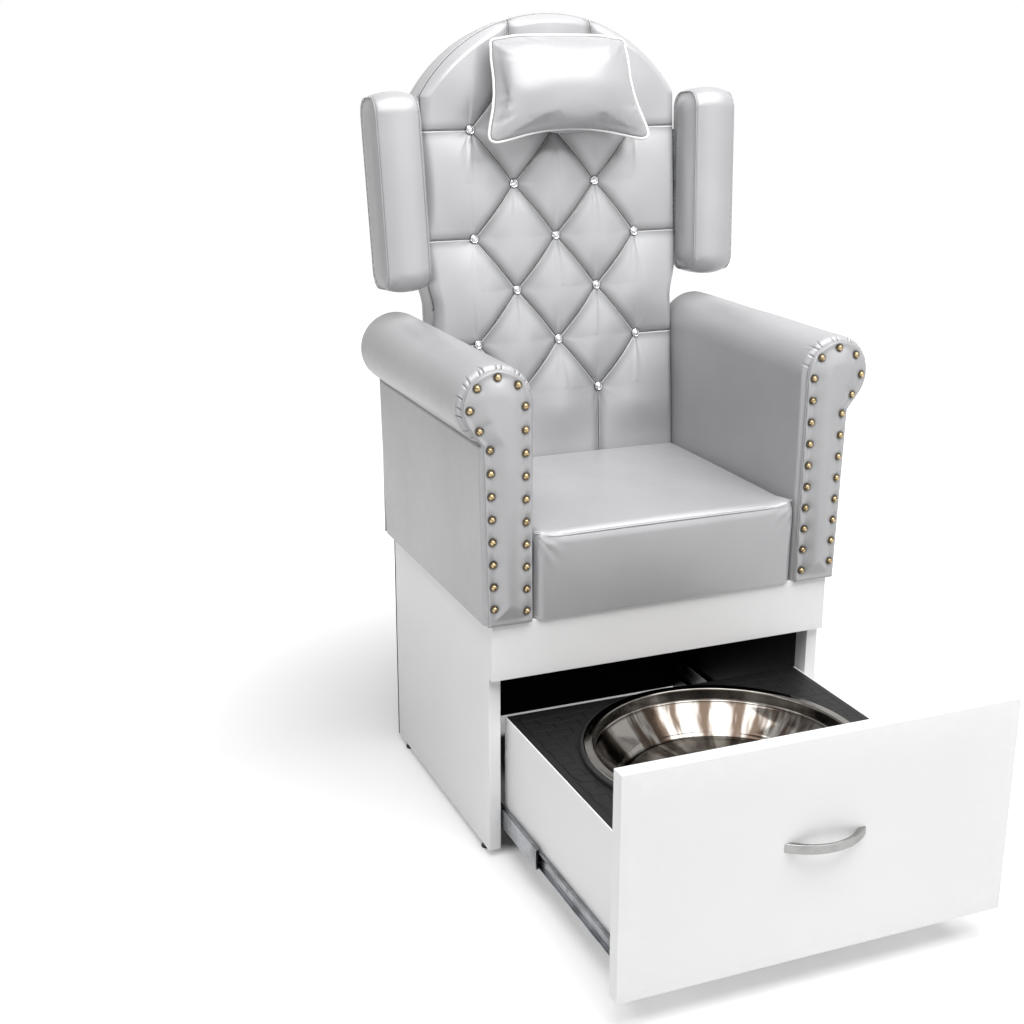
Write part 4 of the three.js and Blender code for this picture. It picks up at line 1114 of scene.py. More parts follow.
@dataclass
class Cabinet:
    """The white cabinet under the seat, with its glides."""

    palette: Palette
    ease: float = 1.0
    glide_waist: float = 2.0

    def build(self) -> None:
        """Builds the boards and the glides."""
        p = self.palette
        for node, skin, ease in (
            ("side_panel_left", p.cabinet_side, 1.0), ("side_panel_right", p.cabinet_side, 1.0),
            ("fascia", p.laminate, 1.0), ("cabinet_top", p.black_board, 0.5),
            ("cabinet_back", p.black_board, 0.5),
        ):
            publish(f"{node}_board", board(*node_box(node), self.ease * ease), skin, node)
        for end in ("front", "rear"):
            for side in Side:
                node = f"foot_glide_{end}_{side.label}"
                publish(f"{node}_pad", self.glide(node), p.rubber, node)

    def glide(self, node: str) -> Surface:
        """A turned foot: a wide pad, a waist and a collar under the panel."""
        low, high = node_box(node)
        radius, tall = (high[0] - low[0]) / 2, high[2] - low[2]
        waist = radius - self.glide_waist
        profile = np.array([
            [0, 0], [radius - 1.5, 0], [radius - 0.4, 0.5], [radius, 1.6], [radius, 4.2], [waist, 5.4],
            [waist, tall - 3.0], [radius - 0.6, tall - 2.4], [radius - 0.6, tall], [0, tall],
        ])
        return revolved(profile, np.array([*(low + high)[:2] / 2, low[2]]), 40)


@dataclass
class Drawer:
    """The pull-out drawer: its box, front, deck, seal and handle."""

    palette: Palette
    ease: float = 1.2
    hole_clearance: float = 5.0
    handle_height: float = 15.0
    handle_strip: float = 5.0
    handle_foot: float = 16.0
    handle_reach: float = 27.0

    def build(self) -> None:
        """Builds every piece of the drawer."""
        p, body = self.palette, Body.DRAWER
        for side in Side:
            node = f"drawer_side_{side.label}"
            publish(f"{node}_board", self.side_board(side), p.laminate, node, body)
        # The drawer's back is white laminate drawn in black board: painted shade at the back of the bay.
        for node, skin in (("back", p.black_board), ("bottom", p.laminate), ("front", p.laminate)):
            node = f"drawer_{node}"
            surface = board(*node_box(node), self.ease)
            publish(f"{node}_board", surface, skin, node, body, slot=Slot.LAMINATE)
        publish("deck_board", self.deck(), p.deck, "drawer_deck", body)
        publish("bowl_seal_ring", self.seal(), p.rubber, "bowl_seal", body)
        publish("bow_handle", self.handle(), p.nickel, "drawer_handle", body)
        publish("handle_screws", self.screws(), p.zinc, body=body)

    def side_board(self, side: Side) -> Surface:
        """A drawer side with the ledge that its deck lies on: its section carried from front to back."""
        low, high = node_box(f"drawer_side_{side.label}")
        deck_low, deck_high = node_box("drawer_deck")
        inner, outer = sorted(np.abs([low[0], high[0]]))
        lip, ledge, ease = deck_high[0] + 0.3, deck_low[2] - 0.3, 0.5
        section = np.array([
            [inner, low[2] + ease], [inner + ease, low[2]], [outer - ease, low[2]], [outer, low[2] + ease],
            [outer, high[2] - ease], [outer - ease, high[2]], [lip + ease, high[2]], [lip, high[2] - ease],
            [lip, ledge], [inner + ease, ledge], [inner, ledge - ease],
        ])
        return drawn(section, np.linspace(low[1], high[1], 12)).mirrored(side)

    def deck(self) -> Surface:
        """The deck: rings from the bowl's hole out to its square edge, over and under."""
        low, high = node_box("drawer_deck")
        bowl_low, bowl_high = node_box("foot_bowl")
        centre = (bowl_low + bowl_high)[:2] / 2
        radius = (bowl_high[0] - bowl_low[0]) / 2 - FootBowl.flange + self.hole_clearance
        share = np.arange(64) / 64

        def square(inset: float) -> Array:
            """Points round the deck's rectangle, drawn in on every side, at even steps."""
            a, b = low[:2] + inset, high[:2] - inset
            corners = np.array([[a[0], a[1]], [b[0], a[1]], [b[0], b[1]], [a[0], b[1]]])
            ahead = np.roll(corners, -1, 0)
            return (corners[:, None] + (ahead - corners)[:, None] * share[:, None]).reshape(-1, 2)

        edge, inner_square = square(0.0), square(3.0)
        toward = unit(edge - centre)
        hole, rim = centre + toward * radius, centre + toward * (radius + 1.0)
        loops = [(hole, high[2] - 1.0), (rim, high[2])]
        loops += [(rim + (inner_square - rim) * t, high[2]) for t in np.linspace(0, 1, 22)[1:]]
        loops += [(square(0.3), high[2] - 0.05), (edge, high[2] - 0.4), (edge, low[2]), (hole, low[2])]
        return ring_skin(np.stack([np.column_stack([xy, np.full(len(xy), z)]) for xy, z in loops]))

    def seal(self) -> Surface:
        """A soft rubber ring with a rounded section between the deck and the bowl's rim."""
        low, high = node_box("bowl_seal")
        outer, tall, over = (high[0] - low[0]) / 2, high[2] - low[2], 4.0
        inner = outer - 19.0
        shoulder = arc(outer - over, tall - over, over, 0, QUARTER, 6)
        profile = np.vstack([[[inner, 0], [outer - 0.6, 0], [outer, 0.6]], shoulder, [[inner, tall]]])
        return revolved(profile, np.array([*(low + high)[:2] / 2, low[2]]), 128, closed=True)

    def handle(self) -> Surface:
        """A bowed strip: its section, a rounded oblong, runs between two arcs from foot to foot."""
        low, high = node_box("drawer_handle")
        half = (high[0] - low[0]) / 2

        def bow(half_width: float, reach: float) -> Array:
            """X and Y of an arc that stands this far forward over a straight line of that half width."""
            radius = (half_width**2 + reach**2) / (2 * reach)
            swing = math.asin(half_width / radius)
            return arc(0, high[1] + radius - reach, radius, -swing - QUARTER, swing - QUARTER, 61)

        outer = bow(half, self.handle_reach)
        under = bow(half - self.handle_foot, self.handle_reach - self.handle_strip)
        a, b = rounded_square(np.linspace(0, TURN, 24, endpoint=False), 1 / 3)
        flat = (outer + under)[:, None] / 2 + (outer - under)[:, None] / 2 * a[:, None]
        z = (low[2] + high[2]) / 2 + self.handle_height / 2 * b
        return tube(np.concatenate([flat, np.broadcast_to(z[None, :, None], (*flat.shape[:2], 1))], axis=-1))

    def screws(self) -> Surface:
        """Two pan-head screws inside the drawer front, behind the handle's feet."""
        low, high = node_box("drawer_handle")
        y = node_box("drawer_front")[1][1] + 0.05
        profile = np.array([[0, 0], [4.0, 0], [4.0, 0.6], [3.2, 1.8], [1.6, 2.3], [1.2, 1.6], [0, 1.5]])
        xs = [low[0] + self.handle_foot / 2, high[0] - self.handle_foot / 2]
        places = np.array([[x, y, (low[2] + high[2]) / 2] for x in xs])
        return copies(revolved(profile, np.zeros(3), 20), places, [[1.0, 0, 0], [0, 0, -1.0], [0, 1.0, 0]])


@dataclass
class FootBowl:
    """The pressed steel bowl that hangs by its rim in the drawer's deck."""

    palette: Palette
    flange: float = 17.0
    depth: float = 70.0
    floor_radius: float = 160.0
    corner: float = 16.0
    bead_drop: float = 22.0
    steel: float = 1.6
    curl: float = 2.2

    def inside(self) -> Array:
        """The wetted profile from the middle of the floor out over the rim.

        A floor that rises a little to its middle, a corner arc of sixty degrees, a wall that leans out
        and swells a little, a rounded bead, an upright band, a small shoulder and the flat rim.
        """
        low, high = node_box("foot_bowl")
        outer = (high[0] - low[0]) / 2
        wall, floor, drop = outer - self.flange, -self.depth, -self.bead_drop
        ring = np.linspace(0, self.floor_radius, 24)
        dish = np.column_stack([ring, floor + 1.6 * (1 - smooth(0, 0.55, ring / self.floor_radius))])
        bend = arc(self.floor_radius, floor + self.corner, self.corner, -QUARTER, -QUARTER / 3, 10)[1:]
        foot, top = bend[-1], np.array([wall - 2.6, drop - 3.4])
        share = np.linspace(0, 1, 16)[1:, None]
        slant = foot + (top - foot) * share + np.sin(math.pi * share) * np.array([[2.4, -1.4]])
        bead = np.array([
            [wall - 1.5, drop - 2.6], [wall - 1.9, drop - 1.4], [wall - 1.0, drop - 0.4], [wall, drop + 0.8],
        ])
        band = np.column_stack([np.full(6, wall), np.linspace(drop + 3, -3.0, 6)])
        shoulder = arc(wall + 3, -3, 3, math.pi, QUARTER, 6)
        rim = np.array([[wall + 6, 0.1], [outer - 6, 0.1], [outer - self.curl, 0]])
        edge = arc(outer - self.curl, -self.curl, self.curl, QUARTER, -math.pi / 3, 8)[1:]
        return np.vstack([dish, bend, slant, bead, band, shoulder, rim, edge])

    def build(self) -> None:
        """Builds the bowl as one closed shell of even steel."""
        low, high = node_box("foot_bowl")
        line = self.inside()
        outside = line + outward(line, False) * self.steel
        outside[0, 0] = 0.0
        ahead = unit(line[-1] - line[-2])
        tip = line[-1] + (outside[-1] - line[-1]) / 2 + ahead * self.steel * 0.4
        centre = np.array([*(low + high)[:2] / 2, high[2]])
        surface = revolved(np.vstack([line, tip, outside[::-1]]), centre, 160)
        radius = np.hypot(*(surface.points - centre)[:, :2].T)
        drop = high[2] - surface.points[:, 2]
        wall = (high[0] - low[0]) / 2 - self.flange
        # Painted shade: thin dark lines along the bead, at the shoulder under the rim and round the floor's
        # corner.
        bead = bell(drop - self.bead_drop - 2.6, 1.2) * (np.abs(radius - wall) < 5)
        lip = bell(radius - wall - 2.0, 1.5) * (drop < 2.5)
        floor = bell(radius - self.floor_radius - 6.0, 1.4) * (drop > self.depth - 6.0)
        surface.masks["fold"] = np.clip(0.8 * bead + 0.55 * lip + 0.7 * floor, 0, 1)
        publish("pressed_foot_bowl", surface, self.palette.stainless, "foot_bowl", Body.BOWL,
                sharp=math.radians(60))


@dataclass
class DrawerSlides:
    """Three-member ball-bearing slides, rolled from steel strip."""

    palette: Palette
    steel: float = 1.3
    bend: float = 2.2
    ball: float = 1.7

    def build(self) -> None:
        """Builds the members, the balls, the stops and the screws."""
        p = self.palette
        for side in Side:
            label, middle = side.label, Body.SLIDE_LEFT if side is Side.LEFT else Body.SLIDE_RIGHT
            for member, body in (("outer", Body.CHAIR), ("middle", middle), ("inner", Body.DRAWER)):
                node = f"slide_{member}_{label}"
                publish(f"{node}_channel", self.channel(member, side), p.zinc, node, body)
            publish(f"slide_stop_{label}", self.stop(side), p.plastic, body=middle)
            publish(f"slide_balls_{label}", self.balls(side), p.nickel, body=middle, slot=Slot.ZINC)
            publish(f"slide_screws_{label}", self.screws(side), p.zinc, body=Body.DRAWER)

    def channel(self, member: str, side: Side) -> Surface:
        """One member: a channel's outline with rounded corners and rolled lips, drawn along Y."""
        low, high = node_box(f"slide_{member}_{side.label}")
        near, far = sorted(np.abs([low[0], high[0]]))
        web, lip = (near, far) if member == "inner" else (far, near)
        sign = math.copysign(1.0, lip - web)
        corner = arc(0, 0, self.bend, 0, QUARTER, 5)
        corner = np.column_stack([
            web + sign * (self.bend - corner[:, 0]), high[2] - self.bend + corner[:, 1],
        ])
        upper = np.vstack([corner, [[lip - sign * 1.4, high[2]], [lip, high[2] - 0.5]]])
        line = np.vstack([(upper * [1, -1] + [0, low[2] + high[2]])[::-1], upper])
        across = outward(line, False)
        across *= math.copysign(1.0, across[len(line) // 2, 0] * sign)
        outline = np.vstack([line, (line + across * self.steel)[::-1]])
        return drawn(outline, np.linspace(low[1], high[1], 26)).mirrored(side)

    def stop(self, side: Side) -> Surface:
        """The black plastic end piece in the middle member's mouth, with two slots through it."""
        low, high = node_box(f"slide_middle_{side.label}")
        mouth = np.array([(low[0] + high[0]) / 2, low[1], (low[2] + high[2]) / 2])
        spans = ((2, 52, 9, 14), (2, 52, -14, -9), (2, 8, -10, 10), (20, 26, -10, 10), (44, 52, -10, 10),
                 (24, 46, -3, 3))
        return joined(board(mouth + [-1.3, y0, z0], mouth + [1.3, y1, z1], 0.6) for y0, y1, z0, z1 in spans)

    def balls(self, side: Side) -> Surface:
        """Two rows of balls between the middle and the inner member, near the middle one's mouth."""
        low, high = node_box(f"slide_middle_{side.label}")
        ball = revolved(arc(0, 0, self.ball, -QUARTER, QUARTER, 7), np.zeros(3), 10)
        lift = self.steel + self.ball
        places = np.array([
            [(low[0] + high[0]) / 2, y, z]
            for y in low[1] + 58 + np.arange(14) * 6.0 for z in (low[2] + lift, high[2] - lift)
        ])
        return copies(ball, places, np.eye(3))

    def screws(self, side: Side) -> Surface:
        """Flat screws that hold the inner member to the drawer side."""
        low, high = node_box(f"slide_inner_{side.label}")
        inside = min(low[0], high[0], key=abs) + side.value * self.steel
        profile = np.array([[0, 0], [3.4, 0], [3.4, 0.4], [2.4, 1.2], [1.0, 1.3], [0.8, 0.8], [0, 0.7]])
        ys = low[1] + np.array([30.0, 62.0, 250.0, 470.0])
        places = np.array([[inside, y, (low[2] + high[2]) / 2] for y in ys])
        frames = [[0, 1.0, 0], [0, 0, 1.0], [float(side.value), 0, 0]]
        return copies(revolved(profile, np.zeros(3), 16), places, frames)


@dataclass(frozen=True)
class Scroll:
    """A scroll's outline on the right, from the foot of its outer wall.

    It runs up to the neck, round the roll to its inner side, down the inner wall and back along the
    bottom. With turn_in, the outer wall ends at a knee and a straight line runs from there to where it
    touches the roll, that far below its middle.
    """

    inner: float
    outer: float
    neck: float
    radius: float
    turn_in: float | None = None
    roll_x: float = 316.5
    roll_z: float = 817.0
    stem_points: int = 60
    roll_points: int = 240
    wall_points: int = 69

    def inset(self, walls: float, roll: float) -> "Scroll":
        """The scroll with its walls and its roll drawn in by their own distances."""
        return replace(self, inner=self.inner + walls, outer=self.outer - walls, neck=self.neck - walls,
                       radius=self.radius - roll)

    def turns(self) -> Array:
        """The angle round the roll at each of its points."""
        crease = math.acos((self.neck - self.roll_x) / self.radius) if self.turn_in is None else self.turn_in
        return np.linspace(-crease, math.pi, self.roll_points)

    def outline(self) -> Array:
        """Its points, X and Z."""
        def line(start: Array, end: Array, count: int) -> Array:
            """Points from a start up to an end that isn't one of them."""
            return start + (end - start) * np.linspace(0, 1, count, endpoint=False)[:, None]

        ends = self.turns()[[0, -1]]
        roll = arc(self.roll_x, self.roll_z, self.radius, *ends, self.roll_points)
        a, b = np.array([self.outer, BODY_BOTTOM]), np.array([self.inner, BODY_BOTTOM])
        if self.turn_in is None:
            stem = line(a, roll[0], self.stem_points)
        else:
            knee = np.array([self.neck, roll[0, 1] - (roll[0, 0] - self.neck) / math.tan(self.turn_in)])
            upper = self.stem_points // 4
            stem = np.vstack([line(a, knee, self.stem_points - upper), line(knee, roll[0], upper)])
        wall = line(b, roll[-1], self.wall_points)[::-1]
        return np.vstack([stem, roll, wall, line(b, a, 13)[1:]])


@dataclass
class ScrollArm:
    """One upholstered scroll arm with its padded front and dome nails."""

    palette: Palette
    side: Side
    body: Scroll = Scroll(inner=250.0, outer=337.5, neck=345.0, radius=66.5)
    front: Scroll = Scroll(inner=255.0, outer=333.0, neck=340.5, radius=58.0, turn_in=math.radians(37.5))
    edge: float = 12.0
    rear_edge: float = 28.0
    nail_inset: float = 10.5
    nail_pitch: float = 38.8
    nail_radius: float = 6.0
    nail_height: float = 4.5
    gathers: int = 15
    seed: int = 11

    def cover(self) -> Surface:
        """The arm's cover: its outline carried from front to back, with rounded ends.

        It is pushed out along the outline's own normal by soft swells, and in by the gathers, each a
        narrow bell across the roll that fades behind the front edge.
        """
        low, high = node_box(f"arm_{self.side.label}")
        front, rear, scroll = low[1], high[1], self.body
        turn = np.linspace(0, QUARTER, 12)
        runs, draws = self.edge * (1 - np.cos(turn)), self.edge * (1 - np.sin(turn))
        back_runs, back_roll = (self.rear_edge * (1 - f(turn[::-1])) for f in (np.cos, np.sin))
        back_walls = self.edge * (1 - round_edge(back_runs, self.edge))
        flat = np.array([12.0, 7.0, 3.0])
        share = np.linspace(0, 1, 84)[1:-1]
        middle = front + self.edge + (rear - self.rear_edge - front - self.edge) * share**1.45
        ys = np.concatenate([np.full(3, front), front + runs, middle, rear - back_runs, np.full(3, rear)])
        ends, even = self.edge + flat, np.zeros(len(middle))
        walls = np.concatenate([ends, draws, even, back_walls, ends[::-1]])
        rolls = np.concatenate([ends, draws, even, back_roll, self.rear_edge + flat[::-1]])
        sheets = np.stack([scroll.inset(w, r).outline() for w, r in zip(walls, rolls)])
        outline, stem = scroll.outline(), scroll.stem_points
        on_roll = np.full(len(outline), -9.0)
        on_roll[stem:stem + scroll.roll_points] = scroll.turns()
        away = (ys - front)[:, None]
        chance = np.random.default_rng(self.seed)
        push, fold = np.zeros((len(ys), len(outline))), np.zeros((len(ys), len(outline)))
        for k in range(self.gathers):
            at = -0.9 + 3.9 * (k + chance.uniform(0.15, 0.85)) / self.gathers
            long = chance.uniform(10, 34)
            depth = chance.uniform(1.2, 2.6)
            drift = chance.uniform(-0.004, 0.004)
            off = (on_roll - at - drift * away) * scroll.radius
            fade = smooth(long, 2.0, away)
            push += depth * (0.35 * bell(off - 3.6, 2.4) - bell(off, 1.6)) * fade
            # Painted shade: a dark line down the bottom of each gather.
            fold = np.maximum(fold, 0.8 * bell(off, 1.3) * fade)
        height = (outline[:, 1] - BODY_BOTTOM) / (scroll.roll_z - BODY_BOTTOM)
        along = np.clip(away / (rear - front), 0, 1)
        swell = np.sin(math.pi * np.clip(height / 0.8, 0, 1)) * np.sin(math.pi * along) ** 0.6
        push += 2.2 * (np.arange(len(outline)) < stem) * swell
        settle = np.sin(ys / 37.0)[:, None] * np.cos(on_roll * 2.3) * 0.35 * smooth(0, 40, away)
        crease = 2.5 * np.exp(-np.abs(on_roll - on_roll[stem]) * scroll.radius / 5.0)
        push += (settle - crease) * (on_roll > -8)
        push *= (walls < self.edge + 1)[:, None]
        moved = sheets + outward(outline) * push[..., None]
        depths = np.broadcast_to(ys[:, None, None], (*moved.shape[:2], 1))
        surface = tube(np.concatenate([moved[..., :1], depths, moved[..., 1:]], axis=-1))
        # Painted shade: a dark line along the crease at the neck.
        fold[:, stem - 1:stem + 3] = 0.6
        return surface.with_shade_and_patina(fold).mirrored(self.side)

    def nails(self) -> Array:
        """X and Z of every nail, at even steps both ways from the top of the roll."""
        scroll = self.front.inset(self.nail_inset, self.nail_inset)
        line = scroll.outline()[:scroll.stem_points + scroll.roll_points + scroll.wall_points]
        length = run_lengths(line)[-1]
        crest = length - (scroll.roll_z - BODY_BOTTOM) - scroll.radius * QUARTER
        first = math.ceil((5 - crest) / self.nail_pitch)
        last = math.floor((length - 5 - crest) / self.nail_pitch)
        return at_lengths(line, crest + np.arange(first, last + 1) * self.nail_pitch)

    def pad(self) -> Surface:
        """The padded front panel.

        Rows run from the outer to the inner edge, up the stem and on round the roll to its top. Its
        height is a rounded edge plus a soft crown, less a dimple at each nail and a shallow channel
        along them.
        """
        low, high = node_box(f"arm_front_{self.side.label}")
        scroll, thick = self.front, high[1] - low[1]
        cuts = np.cumsum([scroll.stem_points, scroll.roll_points, scroll.wall_points])
        outer, roll, inner, _ = np.split(scroll.outline(), cuts)
        inner, crest, neck = inner[::-1], int(np.argmax(roll[:, 1])), roll[0, 1]
        below = np.linspace(BODY_BOTTOM, neck, 120, endpoint=False)
        share = np.linspace(0, 0.985, 70)
        over = np.vstack([inner[np.searchsorted(inner[:, 1], neck):], roll[:crest:-1]])
        edges = []
        for wall, rest in ((outer, roll[:crest]), (inner, over)):
            straight = np.column_stack([np.interp(below, wall[:, 1], wall[:, 0]), below])
            edges.append(np.vstack([straight, at_lengths(rest, share * run_lengths(rest)[-1])]))
        turn = np.linspace(-QUARTER, QUARTER, 39)
        across = (np.sin(turn) * 0.6 + turn / QUARTER * 0.4 + 1) / 2
        grid = edges[0][:, None] + (edges[1] - edges[0])[:, None] * across[None, :, None]
        x, z = grid[..., 0], grid[..., 1]
        past_in = x - np.interp(z, inner[:, 1], inner[:, 0])
        past_out = np.interp(z, outer[:, 1], outer[:, 0]) - x
        in_stem = np.where(z < scroll.roll_z, np.minimum(past_in, past_out), -9.0)
        in_roll = scroll.radius - np.hypot(x - scroll.roll_x, z - scroll.roll_z)
        depth = np.maximum(np.maximum(in_stem, in_roll), 0.0)
        depth = np.minimum(depth, z - BODY_BOTTOM + 0.4)
        height = thick * (0.45 + 0.55 * round_edge(depth, 4.0)) + 8.0 * smooth(7, 39, depth)
        nails = self.nails()
        off = np.hypot(x[..., None] - nails[:, 0], z[..., None] - nails[:, 1])
        height -= 2.6 * bell(off, 10.0).sum(-1) + 0.9 * bell(depth - self.nail_inset, 4.5)
        front = np.stack([x, high[1] - height, z], axis=-1)
        back = np.stack([x, np.full(x.shape, high[1]), z], axis=-1)
        # Painted shade: a dark line round the pad's edge and a dark ring round each nail.
        fold = 0.5 * bell(depth, 1.2) + 0.75 * smooth(9.5, 6.5, off.min(-1))
        return slab(front, back, plain=True).with_shade_and_patina(fold).mirrored(self.side)

    def nail_heads(self) -> Surface:
        """Dome nails: a flared rim with a rounded dome on it, turned and set along the front."""
        y = node_box(f"nail_trim_{self.side.label}")[1][1]
        r, h = self.nail_radius, self.nail_height
        dome = arc(0, 0, 1, 0, QUARTER, 7) * [0.84 * r, 0.78 * h] + [0, 0.22 * h]
        dome[-1, 0] = 0.0
        skirt = np.array([[0, -1.2], [r * 0.9, -1.2], [r, -0.4], [r * 0.97, 0.12 * h], [0.88 * r, 0.2 * h]])
        seed = revolved(np.vstack([skirt, dome]), np.zeros(3), 20)
        rim = bell(np.hypot(*seed.points[:, :2].T) - 0.88 * r, 0.55)
        places = np.insert(self.nails(), 1, y, axis=1)
        heads = copies(seed, places, [[1.0, 0, 0], [0, 0, 1.0], [0, -1.0, 0]])
        return heads.with_shade_and_patina(np.tile(rim, len(places))).mirrored(self.side)

    def build(self) -> None:
        """Builds the cover, the padded front, its piping and the nails."""
        label, vinyl = self.side.label, self.palette.vinyl
        publish(f"arm_cover_{label}", self.cover(), vinyl, f"arm_{label}")
        publish(f"arm_front_pad_{label}", self.pad(), vinyl, f"arm_front_{label}")
        y = node_box(f"arm_front_{label}")[1][1] - 1.2
        line = even_points(self.front.outline(), 3.0, closed=True)
        path = np.insert(line, 1, y, axis=1) * [self.side.value, 1, 1]
        publish(f"arm_front_piping_{label}", swept(path, [0.0, -1.0, 0.0], circle(1.3, 8), True), vinyl)
        publish(f"dome_nails_{label}", self.nail_heads(), self.palette.brass, f"nail_trim_{label}")


@dataclass
class Seat:
    """The box seat cushion and the padded panel behind it."""

    palette: Palette
    edge: float = 20.0
    crown: float = 7.0
    front_swell: float = 2.5
    ear: float = 8.0
    seam_turn: float = math.radians(52)  # of the front edge's rounding, down from the top

    def seat(self) -> Surface:
        """The cushion: a rounded box whose top crowns, whose front swells and whose back follows the slope.

        Its underside has a pocket for the seat board. Small pulls fan out from the front corners.
        """
        low, high = node_box("seat_cushion")
        board_low, board_high = node_box("seat_board")
        top, half, front = high[2] - self.crown, high[0], low[1]
        lean = math.tan(SLOPE.lean)
        rear = SLOPE.y + (BODY_BOTTOM - SLOPE.z) * lean - 0.5
        a, b = np.array([-half, front, BODY_BOTTOM]), np.array([half, rear, top])
        zs = bend_lines(a[2] - self.edge, b[2], self.edge, 36, 7)
        zs = np.concatenate([[a[2]], zs[zs > a[2] + 0.01]])
        skin = box_grid(bend_lines(a[0], b[0], self.edge, 120, 7),
                        bend_lines(a[1], b[1], self.edge, 100, 7), zs)
        raw = skin.points
        soft = rounded(raw, a - [0, 0, self.edge], b, self.edge)
        x, y, z = soft.T
        aside = half - np.abs(x)
        along = (y - front) / (rear - front)
        on_top, on_front = smooth(top - self.edge, top, z), smooth(self.edge, 0.0, y - front)
        dome = (1 - (x / half) ** 2) ** 0.8 * (1 - (2 * along - 1) ** 4)
        z = z + self.crown * np.clip(dome, 0, 1) * on_top
        level = np.clip((z - BODY_BOTTOM) / (top - BODY_BOTTOM), 0, 1)
        y = y - self.front_swell * (1 - np.abs(x / half) ** 3) * np.sin(math.pi * level ** 0.8) * on_front
        z = z + self.ear * bell(np.hypot(aside, y - front - 5), 26) * on_top
        y = y - 2.5 * bell(aside, 20) * on_front * smooth(0.2, 0.9, level)
        fan = np.arctan2(top - z + 4, aside + 4)
        y = y + 0.7 * np.sin(fan * 17) * bell(np.hypot(aside, 0.6 * (top - z)) - 26, 22) * on_front
        z = z + 0.6 * np.sin(fan * 13 + y / 21) * bell(np.hypot(aside, y - front) - 28, 22) * on_top
        y = front + (y - front) / (rear - front) * (rear + (z - BODY_BOTTOM) * lean - front)
        in_pocket = ((raw[:, 2] <= a[2] + 0.01) & (np.abs(raw[:, 0]) < board_high[0] + 2)
                     & (raw[:, 1] > board_low[1] - 2) & (raw[:, 1] < board_high[1] + 2))
        z = np.where(in_pocket, board_high[2] + 0.4, z)
        skin.points = np.stack([x, y, z], axis=-1)
        seam = self.seam_point(front, top)
        # Painted shade: a dark line along the front seam, and along the edges where the seat meets the arms
        # and the back.
        seam_shade = 0.6 * bell(np.hypot(y - seam[0], z - seam[1]), 1.8) * (raw[:, 1] < front + self.edge)
        touch = np.minimum(aside, rear - soft[:, 1])
        return skin.with_shade_and_patina(np.maximum(seam_shade, 0.9 * smooth(2.2, 0.6, touch))).facing_out()

    def seam_point(self, front: float, top: float) -> tuple[float, float]:
        """Y and Z of the seam along the front edge, in the middle of the seat."""
        return (front + self.edge * (1 - math.sin(self.seam_turn)),
                top - self.edge * (1 - math.cos(self.seam_turn)))

    def seam(self) -> tuple[Array, Array]:
        """The path of the front seam and the directions out of the cushion along it.

        It rises with the crown and curls up at both corners, as the cover's ears do.
        """
        low, high = node_box("seat_cushion")
        half = high[0]
        y, z = self.seam_point(low[1], high[2] - self.crown)
        x = np.linspace(-half + 3.0, half - 3.0, 161)
        turn_in = smooth(half - 26, half - 2, np.abs(x))
        ys = y - self.front_swell * 0.35 * (1 - np.abs(x / half) ** 3) + 7 * turn_in
        zs = z + 1.5 * (1 - (x / half) ** 2) + self.ear * bell(half - np.abs(x), 24)
        out = np.array([0.0, -math.sin(self.seam_turn), math.cos(self.seam_turn)])
        return np.column_stack([x, ys, zs]), np.tile(out, (len(x), 1))

    def rear_panel(self) -> Surface:
        """The padded outside back panel: a shallow cushion with drawn edges."""
        low, high = node_box("rear_panel")
        ease = 2.4
        skin = box_grid(bend_lines(low[0], high[0], ease, 80, 3), np.linspace(low[1], high[1], 4),
                        bend_lines(low[2], high[2], ease, 36, 3))
        back = skin.points[:, 1] >= high[1] - 0.01
        skin.points = rounded(skin.points, low, high, ease)
        x, z = skin.points[:, 0], skin.points[:, 2]
        gap = np.minimum(high[0] - np.abs(x), np.minimum(z - low[2], high[2] - z))
        skin.points[:, 1] += back * (2.6 * smooth(2, 45, gap) - 1.2 * bell(gap - 9, 2.0))
        # Painted shade: a dark line in the channel near the edge.
        return skin.with_shade_and_patina(back * 0.5 * bell(gap - 9, 1.6)).facing_out()

    def build(self) -> None:
        """Builds the seat cushion, its seam and the rear panel."""
        vinyl = self.palette.vinyl
        publish("seat_cushion_cover", self.seat(), vinyl, "seat_cushion")
        path, normals = self.seam()
        publish("seat_seam", swept(path, normals, circle(1.3)), vinyl)
        above = path + np.array([0.0, 2.4, 2.6])
        publish("seat_stitching", stitches(above, normals, 4.2), self.palette.thread)
        publish("rear_panel_cover", self.rear_panel(), vinyl, "rear_panel")
        dress(self.palette.plywood, "seat_board")


